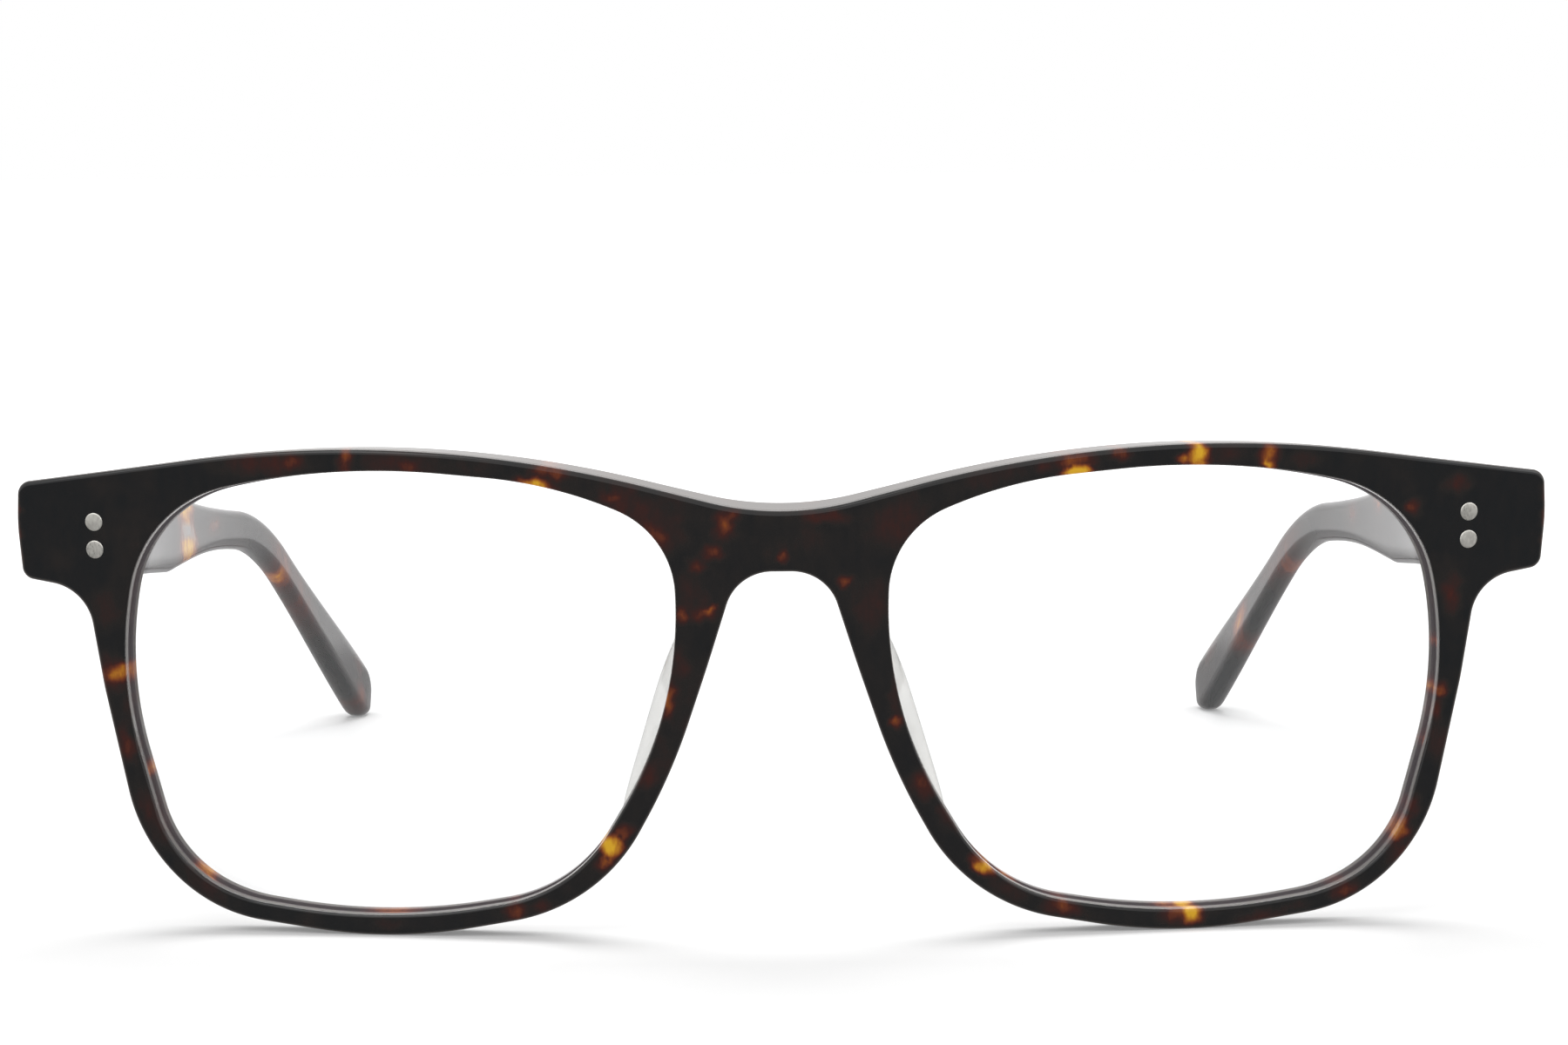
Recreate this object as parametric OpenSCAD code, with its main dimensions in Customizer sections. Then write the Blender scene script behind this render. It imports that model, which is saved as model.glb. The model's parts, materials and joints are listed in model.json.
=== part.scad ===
// Rectangular full rim eyeglasses: a cut acetate front, two clear lenses, glued nose pads,
// riveted five knuckle hinges and acetate temples with a metal core.
// Millimetres. X runs along the front and the wearer's left is +X, +Y runs back to the ear
// tips and +Z is up. The rims and the ear tips stand on the table at Z = 0, temples open.

/* [Front] */
// Width of each lens opening
lens_w = 52; // [50:0.5:54]
// Height of each lens opening
lens_h = 41.6; // [38:0.2:44]
// Width between the two lens openings, the bridge size
bridge_w = 19.6; // [18:0.2:22]
// How far the endpiece reaches out from the lens opening
end_reach = 9.6; // [8.6:0.2:12]
// Height of the endpiece
end_h = 9.05; // [8.6:0.05:10.4]
// How far the endpiece's upper edge lies below the top of the lens opening
end_drop = 1.5; // [0.5:0.05:2.5]
// Height of the rim below the lens opening
rim_low = 1.75; // [1.4:0.05:3]
// Width of the rim beside the lens opening
rim_side = 2.6; // [2.2:0.1:3.6]
// Height of the rim above the lens opening
rim_top = 2.7; // [2.2:0.1:4]
// Height of the bridge
bridge_h = 5.7; // [5:0.1:8]
// How far the bridge's top edge lies below the top of the lens opening
bridge_drop = 3.15; // [1:0.05:5]
// Width of the low middle of the bridge's top edge
saddle_w = 6.8; // [5:0.2:8]
// Width of the top of the nose arch
arch_w = 8.2; // [7:0.2:9]
// Radius of the front's face curve
base_r = 280; // [220:10:400]
// Thickness of the rims and endpieces
front_t = 3.8; // [3.4:0.1:4.6]
// Thickness of the bridge at its middle
bridge_t = 4.8; // [3.8:0.1:6]
// Rounding of the front's outer edges
edge_r = 0.5; // [0.3:0.05:0.8]
// Rounding of the edges round the lens openings
lip_r = 0.3; // [0.2:0.05:0.5]
// How far the front leans towards the viewer
lean = 4; // [2:0.5:6]
// How much that lean is taken back at the upper outer corners, where the sheet is twisted
twist = 8; // [0:0.5:10]

/* [Lenses] */
// Thickness of the lens
lens_t = 2.0; // [1.6:0.1:2.2]
// Distance from the front's face to the lens
lens_back = 0.9; // [0.7:0.1:1.1]
// Depth of the groove in the rim
groove_d = 0.65; // [0.5:0.05:0.8]
// Width of the groove at its mouth
groove_w = 1.3; // [1:0.1:1.5]
// Gap all round the lens
lens_gap = 0.05; // [0.03:0.01:0.1]

/* [Nose pads] */
// How far the pad's upper end lies below the nose arch
pad_drop = 4.4; // [3.8:0.1:7]
// Length of the pad from end to end
pad_len = 20.8; // [17:0.2:21.6]
// How far the pad reaches back from the rim
pad_deep = 5.6; // [4:0.1:6]
// How far the pad flares sideways
pad_flare = 3.6; // [2.8:0.05:4.4]
// Thickness of the pad at its middle
pad_t = 1.7; // [1.2:0.1:2.2]
// Thickness of the glue line behind the rim
bond = 0.05; // [0.03:0.01:0.1]

/* [Temples] */
// Distance from the endpiece's outer edge in to the middle of the temple
temple_set = 3.05; // [2.4:0.05:3.8]
// Thickness of the temple at the hinge
temple_t = 4.0; // [3.6:0.1:4.4]
// Thickness of the temple along its shaft
shaft_t = 2.9; // [2.7:0.1:3.6]
// Height of the temple at the hinge
temple_h = 9.4; // [8.8:0.1:10]
// Distance from the hinge to where the lower edge starts to rise
taper_from = 58.5; // [50:0.5:64]
// Height of the temple at the ear bend
waist_h = 4.5; // [4:0.05:6]
// Height of the paddle at the ear tip
paddle_h = 7.2; // [6:0.1:9]
// Slope of the shaft below the level
slope = 6.4; // [5.5:0.1:7]
// Length of the straight shaft from the hinge to the ear bend
shaft_len = 90; // [86:0.5:94]
// Radius of the ear bend
bend_r = 27.5; // [20:0.5:32]
// Angle of the ear bend
bend_a = 32; // [28:0.5:36]
// Inward lean of the shaft per millimetre
lean_in = 0.014; // [0:0.002:0.02]
// Inward bow of the temple behind its first third
bow = 0.0018; // [0.001:0.00005:0.0019]
// Distance from the hinge to where the bow starts
bow_from = 45; // [35:1:55]
// Distance from the hinge to where the bow ends and the tail runs straight
bow_to = 102; // [92:1:110]
// How far the temple arches up before the ear bend
arch_up = 0.25; // [0:0.05:0.8]
// Length of that arch
arch_len = 40; // [30:1:44]
// Gap between the temple's end and the endpiece
butt_gap = 0.12; // [0.08:0.01:0.2]

/* [Core wires] */
// Thickness of the core wire
wire_t = 1.2; // [1:0.1:1.3]
// Height of the core wire
wire_h = 1.8; // [1.4:0.1:2]
// Length of the ear tip that the wire doesn't reach
wire_short = 12; // [8:1:20]
// Gap round the core wire
wire_gap = 0.04; // [0.03:0.01:0.08]

/* [Hinges] */
// Distance of the hinge axis behind the endpiece
axis_back = 1.9; // [1.8:0.05:2.1]
// Distance of the hinge axis inside the temple's inner face
axis_in = 1.75; // [1.7:0.05:2]
// Radius of the knuckles
knuckle_r = 1.25; // [1.1:0.05:1.25]
// Height of one knuckle
knuckle_h = 1.18; // [1:0.02:1.2]
// Gap between two knuckles
knuckle_gap = 0.06; // [0.04:0.01:0.1]
// Diameter of the hinge screw
screw_d = 1.4; // [1.2:0.1:1.4]
// Diameter of the screw's head
screw_head_d = 2.3; // [2:0.1:2.4]
// Gap round the screw in the knuckles
screw_gap = 0.04; // [0.03:0.01:0.06]
// Height of the hinge leaves
leaf_h = 6.2; // [6.2:0.1:6.6]
// How far the leaves are sunk in the acetate
leaf_sunk = 0.5; // [0.4:0.05:0.6]
// How far the leaves stand proud of the acetate
leaf_proud = 0.4; // [0.3:0.05:0.4]
// Length of the temple's leaf behind the hinge axis
leaf_len = 8.0; // [7:0.5:10]
// Corner radius of the leaves
leaf_corner = 0.6; // [0.4:0.1:1]
// Gap round a leaf in its pocket
leaf_gap = 0.04; // [0.03:0.01:0.08]

/* [Rivets] */
// Diameter of the rivets
rivet_d = 1.7; // [1.5:0.1:1.8]
// Distance of the front rivets from the endpiece's outer edge
rivet_in = 7.6; // [7.2:0.1:8]
// Distance of the middle between the front rivets below the endpiece's upper edge
rivet_down = 4.8; // [4.4:0.05:5.3]
// Distance between the two front rivets
rivet_gap = 2.6; // [2.4:0.1:3]
// Distance of the temple rivets behind the hinge axis
temple_rivet_y = 5.4; // [4.6:0.1:6]
// Distance between the two rivets of a temple
temple_rivet_gap = 4.2; // [4:0.1:4.4]
// How far the rivets stand proud of the acetate
rivet_proud = 0.04; // [0.02:0.01:0.1]
// Gap round a rivet in its hole
rivet_play = 0.02; // [0.01:0.01:0.04]

/* [Hidden] */

$fn = 48;

// Longest straight step along an outline, and the widest turn in one step.
outline_step = 3.4;
outline_turn = 15;
// Steps in the quarter round of an edge.
edge_steps = 3;

// The lens opening's middle, outer edge and top, in the flat pattern of the front.
lens_cx = (bridge_w + lens_w) / 2;
lens_cz = rim_low + lens_h / 2;
lens_out = bridge_w / 2 + lens_w;
lens_top = rim_low + lens_h;

// Levels and ends that follow from the lens opening.
bridge_top = lens_top - bridge_drop;
arch_top = bridge_top - bridge_h;
end_top = lens_top - end_drop;
end_low = end_top - end_h;
end_x = lens_out + end_reach;
pad_top = arch_top - pad_drop;
pad_low = pad_top - pad_len;
temple_x = end_x - temple_set;
rivet_x = end_x - rivet_in;
rivet_z = end_top - rivet_down;

// Corners of the lens opening from its middle, at a size of 52 x 41.6, each with the radius
// that rounds it. The list runs clockwise as the front is seen.
lens_corners = [
    [-25.8, 15.5, 8.7], [-15.0, 20.1, 39], [5.2, 21.8, 65], [23.2, 17.6, 12.5],
    [26.4, 1.6, 35], [21.7, -16.4, 11.5], [14.9, -19.7, 14.7], [1.5, -21.5, 59],
    [-16.2, -18.3, 14.5], [-26.4, -1.1, 37]
];
lens_path = [for (c = lens_corners)
    [lens_cx + c.x * lens_w / 52, lens_cz + c.y * lens_h / 41.6, c.z]];

// A corner of the rim's outer edge: x and z away from corner i of the lens opening.
function rim_corner(i, x, z, r) = [lens_path[i].x + x, lens_path[i].y + z, r];

// The outer edge of one half: bridge, brow, endpiece, rim and nose side, clockwise.
side_share = rim_side / 2.6;
low_share = rim_low / 1.75;
top_share = rim_top / 2.7;
outer_path = [
    [0, bridge_top, 0],
    [saddle_w / 2, bridge_top, 27],
    rim_corner(1, -0.8, 1.8 * top_share, 110),
    rim_corner(2, 0.5, 2.2 * top_share, 105),
    [end_x - 0.2, end_top, 1.4],
    [end_x, (end_top + end_low) / 2 + 0.5, 20],
    [end_x - 0.4, end_low, 1.2],
    [lens_out + rim_side + 0.5, end_low - 0.9, 4.4],
    rim_corner(4, 1.3 * side_share, -1.5, 21),
    rim_corner(5, 3.0 * side_share, 1.6, 15.5),
    rim_corner(6, 2.7 * side_share, -1.5 * low_share, 14.2),
    rim_corner(7, -0.8, -1.85 * low_share, 47),
    rim_corner(8, -2.4 * side_share, -1.3 * low_share, 17.2),
    rim_corner(9, 0.9, -5.9, 58),
    rim_corner(9, -2.5, 4.2, 150),
    [arch_w / 2, arch_top, 4.4],
    [0, arch_top, 0]
];

// The turn of an outline at corner b, between a and c.
function turn_at(a, b, c) =
    let (raw = atan2(c.y - b.y, c.x - b.x) - atan2(b.y - a.y, b.x - a.x))
    raw > 180 ? raw - 360 : raw < -180 ? raw + 360 : raw;

// The corners with their radii cut down where two neighbouring arcs would overlap.
function snug(v) =
    let (
        n = len(v),
        cuts = [for (i = [0 : n - 1])
            v[i].z * tan(abs(turn_at(v[(i + n - 1) % n], v[i], v[(i + 1) % n])) / 2)],
        runs = [for (i = [0 : n - 1])
            norm([v[(i + 1) % n].x - v[i].x, v[(i + 1) % n].y - v[i].y])]
    )
    [for (i = [0 : n - 1])
        let (
            before = (i + n - 1) % n,
            share = min(1, runs[before] / max(0.001, cuts[before] + cuts[i]),
                runs[i] / max(0.001, cuts[i] + cuts[(i + 1) % n]))
        )
        [v[i].x, v[i].y, v[i].z * share]];

// One rounded corner b between a and c: points [x, z, normal x, normal z] along its arc.
function arc_points(a, b, c) =
    let (
        h1 = atan2(b.y - a.y, b.x - a.x),
        turn = turn_at(a, b, c),
        side = sign(turn),
        r = b.z,
        cut = r * tan(abs(turn) / 2),
        start = [b.x - cut * cos(h1), b.y - cut * sin(h1)],
        middle = start + side * r * [-sin(h1), cos(h1)],
        n = max(1, ceil(abs(turn) * r * PI / 180 / outline_step), ceil(abs(turn) / outline_turn))
    )
    [for (i = [0 : n])
        let (h = h1 + turn * i / n)
        [middle.x + side * r * sin(h), middle.y - side * r * cos(h), -sin(h), cos(h)]];

// Fills the straight runs of a list of outline points, and drops doubled points.
function fill_runs(p, closed) =
    [for (i = [0 : len(p) - (closed ? 1 : 2)])
        let (
            a = p[i],
            b = p[(i + 1) % len(p)],
            d = norm([b.x - a.x, b.y - a.y]),
            k = max(1, ceil(d / outline_step))
        )
        if (d > 0.02) each [for (j = [0 : k - 1]) a + (b - a) * j / k]];

// A closed outline with every corner rounded.
function closed_outline(v) =
    fill_runs([for (i = [0 : len(v) - 1])
        each arc_points(v[(i + len(v) - 1) % len(v)], v[i], v[(i + 1) % len(v)])], true);

// The outer edge of one half, from the top of the bridge to the top of the nose arch.
function open_outline(v) =
    let (
        inner = [for (i = [1 : len(v) - 2]) each arc_points(v[i - 1], v[i], v[i + 1])],
        first = [v[0].x, v[0].y, 0, 1],
        last = [v[len(v) - 1].x, v[len(v) - 1].y, 0, -1]
    )
    concat(fill_runs(concat([first], inner, [last]), false), [last]);

// Rises from 0 at a to 1 at b, level at both ends.
function eased(s, a, b) =
    let (u = max(0, min(1, (s - a) / (b - a))))
    u * u * (3 - 2 * u);

// A point of the flat pattern, x across and z up, laid on the curved front at depth t
// behind the face. The twist lowers the back of the sheet towards the upper outer corners.
function wrap(x, z, t) =
    let (
        a = asin(x / base_r),
        sink = t * tan(twist) * eased(abs(x), 0, end_x) * z / end_top
    )
    [(base_r - t) * sin(a), base_r - (base_r - t) * cos(a), z - sink];

// Leans a point of the upright front towards the viewer.
function leaned(p) =
    [p.x, p.y * cos(lean) - p.z * sin(lean), p.y * sin(lean) + p.z * cos(lean)];

// Thickness of the front at x, thicker over the bridge.
bridge_reach = bridge_w / 2 + 4;
function depth_at(x) =
    front_t + (bridge_t - front_t) * (1 + cos(180 * min(1, abs(x) / bridge_reach))) / 2;

outer = open_outline(snug(outer_path));
outer_n = len(outer);
lens_raw = closed_outline(snug(lens_path));
lens_n = len(lens_raw);

// Angle of a point round a spot behind the brow, where both outlines run in step.
fan_x = lens_cx;
fan_z = arch_top;
fan_start = atan2(bridge_top - fan_z, -fan_x);
function fan(p) =
    let (a = (fan_start - atan2(p.y - fan_z, p.x - fan_x)) / 360)
    a < -0.0001 ? a + 1 : a;

// The lens outline, started where its fan angle is least.
lens_fans = [for (p = lens_raw) fan(p)];
lens_first = search(min(lens_fans), lens_fans)[0];
lens_loop = [for (i = [0 : lens_n - 1]) lens_raw[(i + lens_first) % lens_n]];

// Positions that never fall back.
function rising(p) =
    [for (i = 0, m = p[0]; i < len(p); i = i + 1, m = i < len(p) ? max(m, p[i]) : m) m];

// Triangles that join two closed chains of vertex numbers, a outside and b inside,
// which run clockwise with the positions pa and pb from 0 to 1.
function mids(p) = [for (i = [0 : len(p) - 1]) (p[i] + (i + 1 < len(p) ? p[i + 1] : 1 + p[0])) / 2];
function passed(list, v) = len([for (x = list) if (x < v) 1]);
function passed_or_at(list, v) = len([for (x = list) if (x <= v) 1]);
function zip(a, b, pa, pb) =
    let (
        na = len(a),
        nb = len(b),
        ma = mids(pa),
        mb = mids(pb)
    )
    concat(
        [for (i = [0 : na - 1]) [a[i], a[(i + 1) % na], b[passed(mb, ma[i]) % nb]]],
        [for (j = [0 : nb - 1]) [b[(j + 1) % nb], b[j], a[passed_or_at(ma, mb[j]) % na]]]
    );
function flipped(faces) = [for (f = faces) [for (i = [len(f) - 1 : -1 : 0]) f[i]]];

// Triangles of a skin over rings of m points, k rings of it, from vertex number base.
function skin(k, m, base) =
    [for (i = [0 : k - 2]) for (j = [0 : m - 1])
        let (
            a = base + i * m + j,
            b = base + i * m + (j + 1) % m,
            c = b + m,
            d = a + m
        )
        each [[a, b, c], [a, c, d]]];

// Triangles of a closed strip: n stations round it, each with k points from front to back.
function strip(n, k, base) =
    [for (i = [0 : n - 1]) for (j = [0 : k - 2])
        let (
            a = base + i * k + j,
            b = base + ((i + 1) % n) * k + j
        )
        each [[a, a + 1, b + 1], [a, b + 1, b]]];

// Section of the outer edge: distance in from the outline and share of the depth.
function edge_section(t) = concat(
    [for (i = [0 : edge_steps])
        let (a = 90 * i / edge_steps)
        [edge_r * (1 - sin(a)), edge_r * (1 - cos(a))]],
    [for (i = [0 : edge_steps])
        let (a = 90 * i / edge_steps)
        [edge_r * (1 - cos(a)), t - edge_r * (1 - sin(a))]]
);
edge_k = 2 * (edge_steps + 1);

// Section of a lens opening: distance out from the outline and depth, with the lens groove.
groove_t = lens_back + lens_t / 2;
function lip_section(t) = [
    [lip_r, 0],
    [lip_r * 0.3, lip_r * 0.3],
    [0, lip_r],
    [0, groove_t - groove_w / 2],
    [groove_d, groove_t],
    [0, groove_t + groove_w / 2],
    [0, t - lip_r],
    [lip_r * 0.3, t - lip_r * 0.3],
    [lip_r, t]
];
lip_k = 9;

// A point beside an outline point p: d inside the material, t deep, mirrored by side.
function beside(p, d, t, side) =
    leaned(wrap(side * (p.x - d * p.z), p.y - d * p[3], t));

contour = concat(
    [for (i = [0 : outer_n - 1]) [each outer[i], 1]],
    [for (i = [outer_n - 2 : -1 : 1]) [each outer[i], -1]]
);
contour_n = len(contour);
edge_points = [for (p = contour)
    each [for (s = edge_section(depth_at(p.x))) beside(p, s.x, s.y, p[4])]];
function lip_points(side) = [for (p = lens_loop)
    each [for (s = lip_section(depth_at(p.x))) beside(p, -s.x, s.y, side)]];

// Lifts the leaning front until its rims stand on the table.
front_lift = -min([for (p = edge_points) p.z]);
function seated(p) = p + [0, 0, front_lift];

// Points on the mid plane that the two halves share.
mid_n = 3;
mid_z = [for (i = [1 : mid_n])
    arch_top + edge_r + (bridge_top - arch_top - 2 * edge_r) * i / (mid_n + 1)];

// The whole front before any hole is drilled: edge, two lens openings, face and back.
module front_blank() {
    lip_base = contour_n * edge_k;
    lip_base_2 = lip_base + lens_n * lip_k;
    mid_base = lip_base_2 + lens_n * lip_k;
    points = concat(
        edge_points,
        lip_points(1),
        lip_points(-1),
        [for (z = mid_z) leaned(wrap(0, z, 0))],
        [for (z = mid_z) leaned(wrap(0, z, bridge_t))]
    );
    outer_fans = rising(concat(
        [for (p = outer) fan(p)],
        [for (z = mid_z) fan([0, z])]
    ));
    loop_fans = rising([for (p = lens_loop) fan(p)]);
    function chain(k, side, layer) = concat(
        [for (i = [0 : outer_n - 1])
            (side > 0 || i == 0 || i == outer_n - 1 ? i : contour_n - i) * edge_k + k],
        [for (i = [0 : mid_n - 1]) mid_base + layer * mid_n + i]
    );
    function loop(k, base) = [for (j = [0 : lens_n - 1]) base + j * lip_k + k];
    faces = concat(
        strip(contour_n, edge_k, 0),
        flipped(strip(lens_n, lip_k, lip_base)),
        strip(lens_n, lip_k, lip_base_2),
        zip(chain(0, 1, 0), loop(0, lip_base), outer_fans, loop_fans),
        flipped(zip(chain(edge_k - 1, 1, 1), loop(lip_k - 1, lip_base), outer_fans, loop_fans)),
        flipped(zip(chain(0, -1, 0), loop(0, lip_base_2), outer_fans, loop_fans)),
        zip(chain(edge_k - 1, -1, 1), loop(lip_k - 1, lip_base_2), outer_fans, loop_fans)
    );
    polyhedron([for (p = points) seated(p)], faces, convexity = 8);
}

// Moves to the flat pattern's point x, z on the face. There +Y points into the front.
module on_face(x, z) {
    translate([0, 0, front_lift])
        rotate([lean, 0, 0])
            translate(wrap(x, z, 0))
                rotate([0, 0, asin(x / base_r)])
                    children();
}

// The temple's inner face at the hinge, the hinge axis and the turn of the endpiece there.
temple_in = temple_x - temple_t / 2;
axis_x = temple_in - axis_in;
axis_turn = asin(axis_x / (base_r - front_t - axis_back));
axis_point = seated(leaned(
    [axis_x, base_r - (base_r - front_t - axis_back) * cos(axis_turn), rivet_z]));

// The plane of the endpiece's back, which the temple's end meets.
back_turn = asin(temple_x / (base_r - front_t));
back_point = seated(leaned(
    [temple_x, base_r - (base_r - front_t) * cos(back_turn), rivet_z]));
back_normal = leaned([-sin(back_turn), cos(back_turn), 0]);
function butt_y(x, z) =
    back_point.y + (butt_gap - back_normal.x * (x - back_point.x)
        - back_normal.z * (z - back_point.z)) / back_normal.y;

// The temple's middle line starts here, level with the endpiece's middle.
temple_z = seated(leaned(wrap(rivet_x, (end_top + end_low) / 2, front_t))).z;
temple_y = butt_y(temple_x, temple_z);

// Inward bow at distance s: a parabola that runs on straight behind bow_to.
function bowed(s) =
    let (b = max(0, min(s, bow_to) - bow_from))
    bow * b * b + 2 * bow * (bow_to - bow_from) * max(0, s - bow_to);

// Rise of the middle line over the arch before the ear bend.
function arched(s) =
    arch_up * (1 - cos(360 * max(0, min(1, (s - taper_from - 3) / arch_len)))) / 2;

// The middle line at distance s from the hinge: x, y, z and its slope.
function middle(s) =
    let (
        x = temple_x - lean_in * s - bowed(s),
        y1 = temple_y + shaft_len * cos(slope),
        z1 = temple_z - shaft_len * sin(slope),
        turn = min(bend_a, max(0, s - shaft_len) / bend_r * 180 / PI),
        a = slope + turn,
        rest = max(0, s - shaft_len - bend_r * bend_a * PI / 180)
    )
    s < shaft_len
        ? [x, temple_y + s * cos(slope), temple_z - s * sin(slope) + arched(s), slope]
        : [x,
            y1 + bend_r * (sin(a) - sin(slope)) + rest * cos(a),
            z1 - bend_r * (cos(slope) - cos(a)) - rest * sin(a) + arched(s),
            a];

// Height and thickness of the temple at distance s of its length l.
bend_len = bend_r * bend_a * PI / 180;
function height_at(s, l) =
    temple_h - 0.5 * eased(s, 10, taper_from)
    - (temple_h - 0.5 - waist_h)
        * sin(90 * max(0, min(1, (s - taper_from) / (shaft_len - 1 - taper_from))))
    + (paddle_h - waist_h) * eased(s, shaft_len + bend_len, l - 2);
function thick_at(s, l) =
    temple_t - (temple_t - shaft_t) * eased(s, 8, 55) - 0.2 * eased(s, 60, shaft_len)
    + 0.3 * eased(s, l - 30, l);

// Half the rounded end of the paddle.
tip_r = paddle_h / 2;

// A rounded rectangle w by h with n points in each corner of radius r.
function round_section(w, h, r, n) =
    [for (q = [0 : 3]) for (k = [0 : n - 1])
        let (
            a = 90 * q + 90 * k / (n - 1),
            sx = q == 0 || q == 3 ? 1 : -1,
            sz = q < 2 ? 1 : -1
        )
        [sx * (w / 2 - r) + r * cos(a), sz * (h / 2 - r) + r * sin(a)]];

// A ring of the temple at distance s, its section w by h with corner radius r.
function ring(s, w, h, r, n) =
    let (m = middle(s))
    [for (p = round_section(w, h, r, n))
        [m.x + p.x, m.y + p.y * sin(m[3]), m.z + p.y * cos(m[3])]];

// The first ring lies in the plane that meets the endpiece.
function butt_ring(w, h, r, n, more) =
    [for (p = round_section(w, h, r, n))
        let (
            x = temple_x + p.x,
            z = temple_z + p.y
        )
        [x, butt_y(x, z) + more, z]];

// Corner radius of the temple, rounder towards the ear tip.
function corner_at(s, l) = 0.7 + 0.75 * eased(s, 30, 100);

// The rings of a temple of length l.
temple_corner = 4;
temple_m = 4 * temple_corner;
function temple_stations(l) = concat(
    [for (i = [1 : 15]) shaft_len * i / 15],
    [for (i = [1 : 6]) shaft_len + bend_len * i / 6],
    [for (i = [1 : 7]) shaft_len + bend_len + (l - tip_r - shaft_len - bend_len) * i / 7]
);
tip_angles = [24, 46, 65, 80];
function temple_rings(l) = concat(
    [butt_ring(temple_t, temple_h, corner_at(0, l), temple_corner, 0)],
    [for (s = temple_stations(l))
        ring(s, thick_at(s, l), height_at(s, l), corner_at(s, l), temple_corner)],
    [for (a = tip_angles)
        let (
            s = l - tip_r * (1 - sin(a)),
            w = thick_at(s, l) * pow(cos(a), 0.45),
            h = height_at(s, l) * cos(a)
        )
        ring(s, w, h, min(w, h) * 0.46, temple_corner)]
);

// The ear tail is as long as it takes to reach the table.
function lowest(l) = min([for (r = temple_rings(l)) for (p = r) p.z]);
function reach(l) = l + lowest(l) / sin(slope + bend_a);
temple_len = reach(reach(reach(shaft_len + bend_len + 32)));

// The channel for the core wire, open at the hinge end, and the wire in it.
wire_m = 8;
function wire_stations(from, to) = concat(
    [for (i = [1 : 6]) from + (bow_from - from) * i / 6],
    [for (i = [1 : 6]) bow_from + (shaft_len - bow_from) * i / 6],
    [for (i = [1 : 6]) shaft_len + bend_len * i / 6],
    [for (i = [1 : 4]) shaft_len + bend_len + (to - shaft_len - bend_len) * i / 4]
);
wire_corner = 0.45;
function wire_rings(gap, more, to) = concat(
    [butt_ring(wire_t + 2 * gap, wire_h + 2 * gap, wire_corner + gap, 2, more)],
    [for (s = wire_stations(0, to))
        ring(s, wire_t + 2 * gap, wire_h + 2 * gap, wire_corner + gap, 2)]
);

// The temple before its pocket and rivet holes are cut.
module temple_blank() {
    outside = temple_rings(temple_len);
    inside = wire_rings(wire_gap, 0, temple_len - wire_short + wire_gap);
    n = len(outside);
    k = len(inside);
    base = n * temple_m;
    out_first = [for (i = [0 : temple_m - 1]) i];
    in_first = [for (i = [0 : wire_m - 1]) base + i];
    out_pos = [for (i = [0 : temple_m - 1]) i / temple_m];
    in_pos = [for (i = [0 : wire_m - 1]) i / wire_m];
    faces = concat(
        skin(n, temple_m, 0),
        flipped(skin(k, wire_m, base)),
        flipped(zip(out_first, in_first, out_pos, in_pos)),
        [[for (i = [0 : temple_m - 1]) (n - 1) * temple_m + i]],
        [[for (i = [wire_m - 1 : -1 : 0]) base + (k - 1) * wire_m + i]]
    );
    polyhedron([for (r = concat(outside, inside)) each r], faces, convexity = 6);
}

// Places a piece for one side. Everything is drawn for the wearer's left, +X.
front_y = min([for (p = edge_points) p.y]);
tip_y = max([for (r = temple_rings(temple_len)) for (p = r) p.y]);
centre_y = -(front_y + tip_y) / 2;
module placed(side = 1) {
    translate([0, centre_y, 0])
        if (side > 0) children();
        else mirror([1, 0, 0]) children();
}

// A plate w by h and t thick with round corners, its middle at the origin and its
// thickness along Y.
module plate(w, h, t, r) {
    cube([w - 2 * r, t, h], center = true);
    cube([w, t, h - 2 * r], center = true);
    for (x = [-1, 1], z = [-1, 1])
        translate([x * (w / 2 - r), 0, z * (h / 2 - r)])
            rotate([90, 0, 0])
                cylinder(r = r, h = t, center = true);
}

// The front leaf's plate, from 3.4 inside the axis to 1 outside it, grown by gap.
front_leaf_in = 3.4;
front_leaf_out = 1.0;
module front_plate(gap) {
    translate([0, 0, front_lift])
        rotate([lean, 0, 0])
            translate([axis_x, base_r - (base_r - front_t - axis_back) * cos(axis_turn), rivet_z])
                rotate([0, 0, axis_turn])
                    translate([(front_leaf_out - front_leaf_in) / 2,
                        -axis_back + (leaf_proud - leaf_sunk) / 2, 0])
                        plate(front_leaf_in + front_leaf_out + 2 * gap, leaf_h + 2 * gap,
                            leaf_sunk + leaf_proud + 2 * gap, leaf_corner + gap);
}

// The temple leaf's plate on the inner face, grown by gap.
temple_leaf_front = 0.6;
module temple_plate(gap) {
    translate(axis_point + [axis_in + (leaf_sunk - leaf_proud) / 2,
        (leaf_len - temple_leaf_front) / 2, temple_leaf_z])
        rotate([-slope, 0, 0])
            rotate([0, 0, 90])
                plate(leaf_len + temple_leaf_front + 2 * gap, leaf_h + 2 * gap,
                    leaf_sunk + leaf_proud + 2 * gap, leaf_corner + gap);
}
// The temple's leaf is centred on the temple, a little below the axis point.
temple_leaf_z = temple_z - axis_point.z - sin(slope) * leaf_len / 2;

// Knuckles of one leaf: levels counted from below, all on the hinge axis.
level_pitch = knuckle_h + knuckle_gap;
barrel_h = 5 * knuckle_h + 4 * knuckle_gap;
module knuckles(levels) {
    for (i = levels)
        translate([0, 0, -barrel_h / 2 + i * level_pitch])
            cylinder(r = knuckle_r, h = knuckle_h);
}

// Webs that join the knuckles to their plate, x1 to x2 and y1 to y2 from the axis.
module webs(levels, x1, x2, y1, y2) {
    for (i = levels)
        translate([x1, y1, -barrel_h / 2 + i * level_pitch])
            cube([x2 - x1, y2 - y1, knuckle_h]);
}

// The hole for the hinge screw.
module screw_hole() {
    cylinder(d = screw_d + 2 * screw_gap, h = barrel_h + 2, center = true);
}

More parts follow.
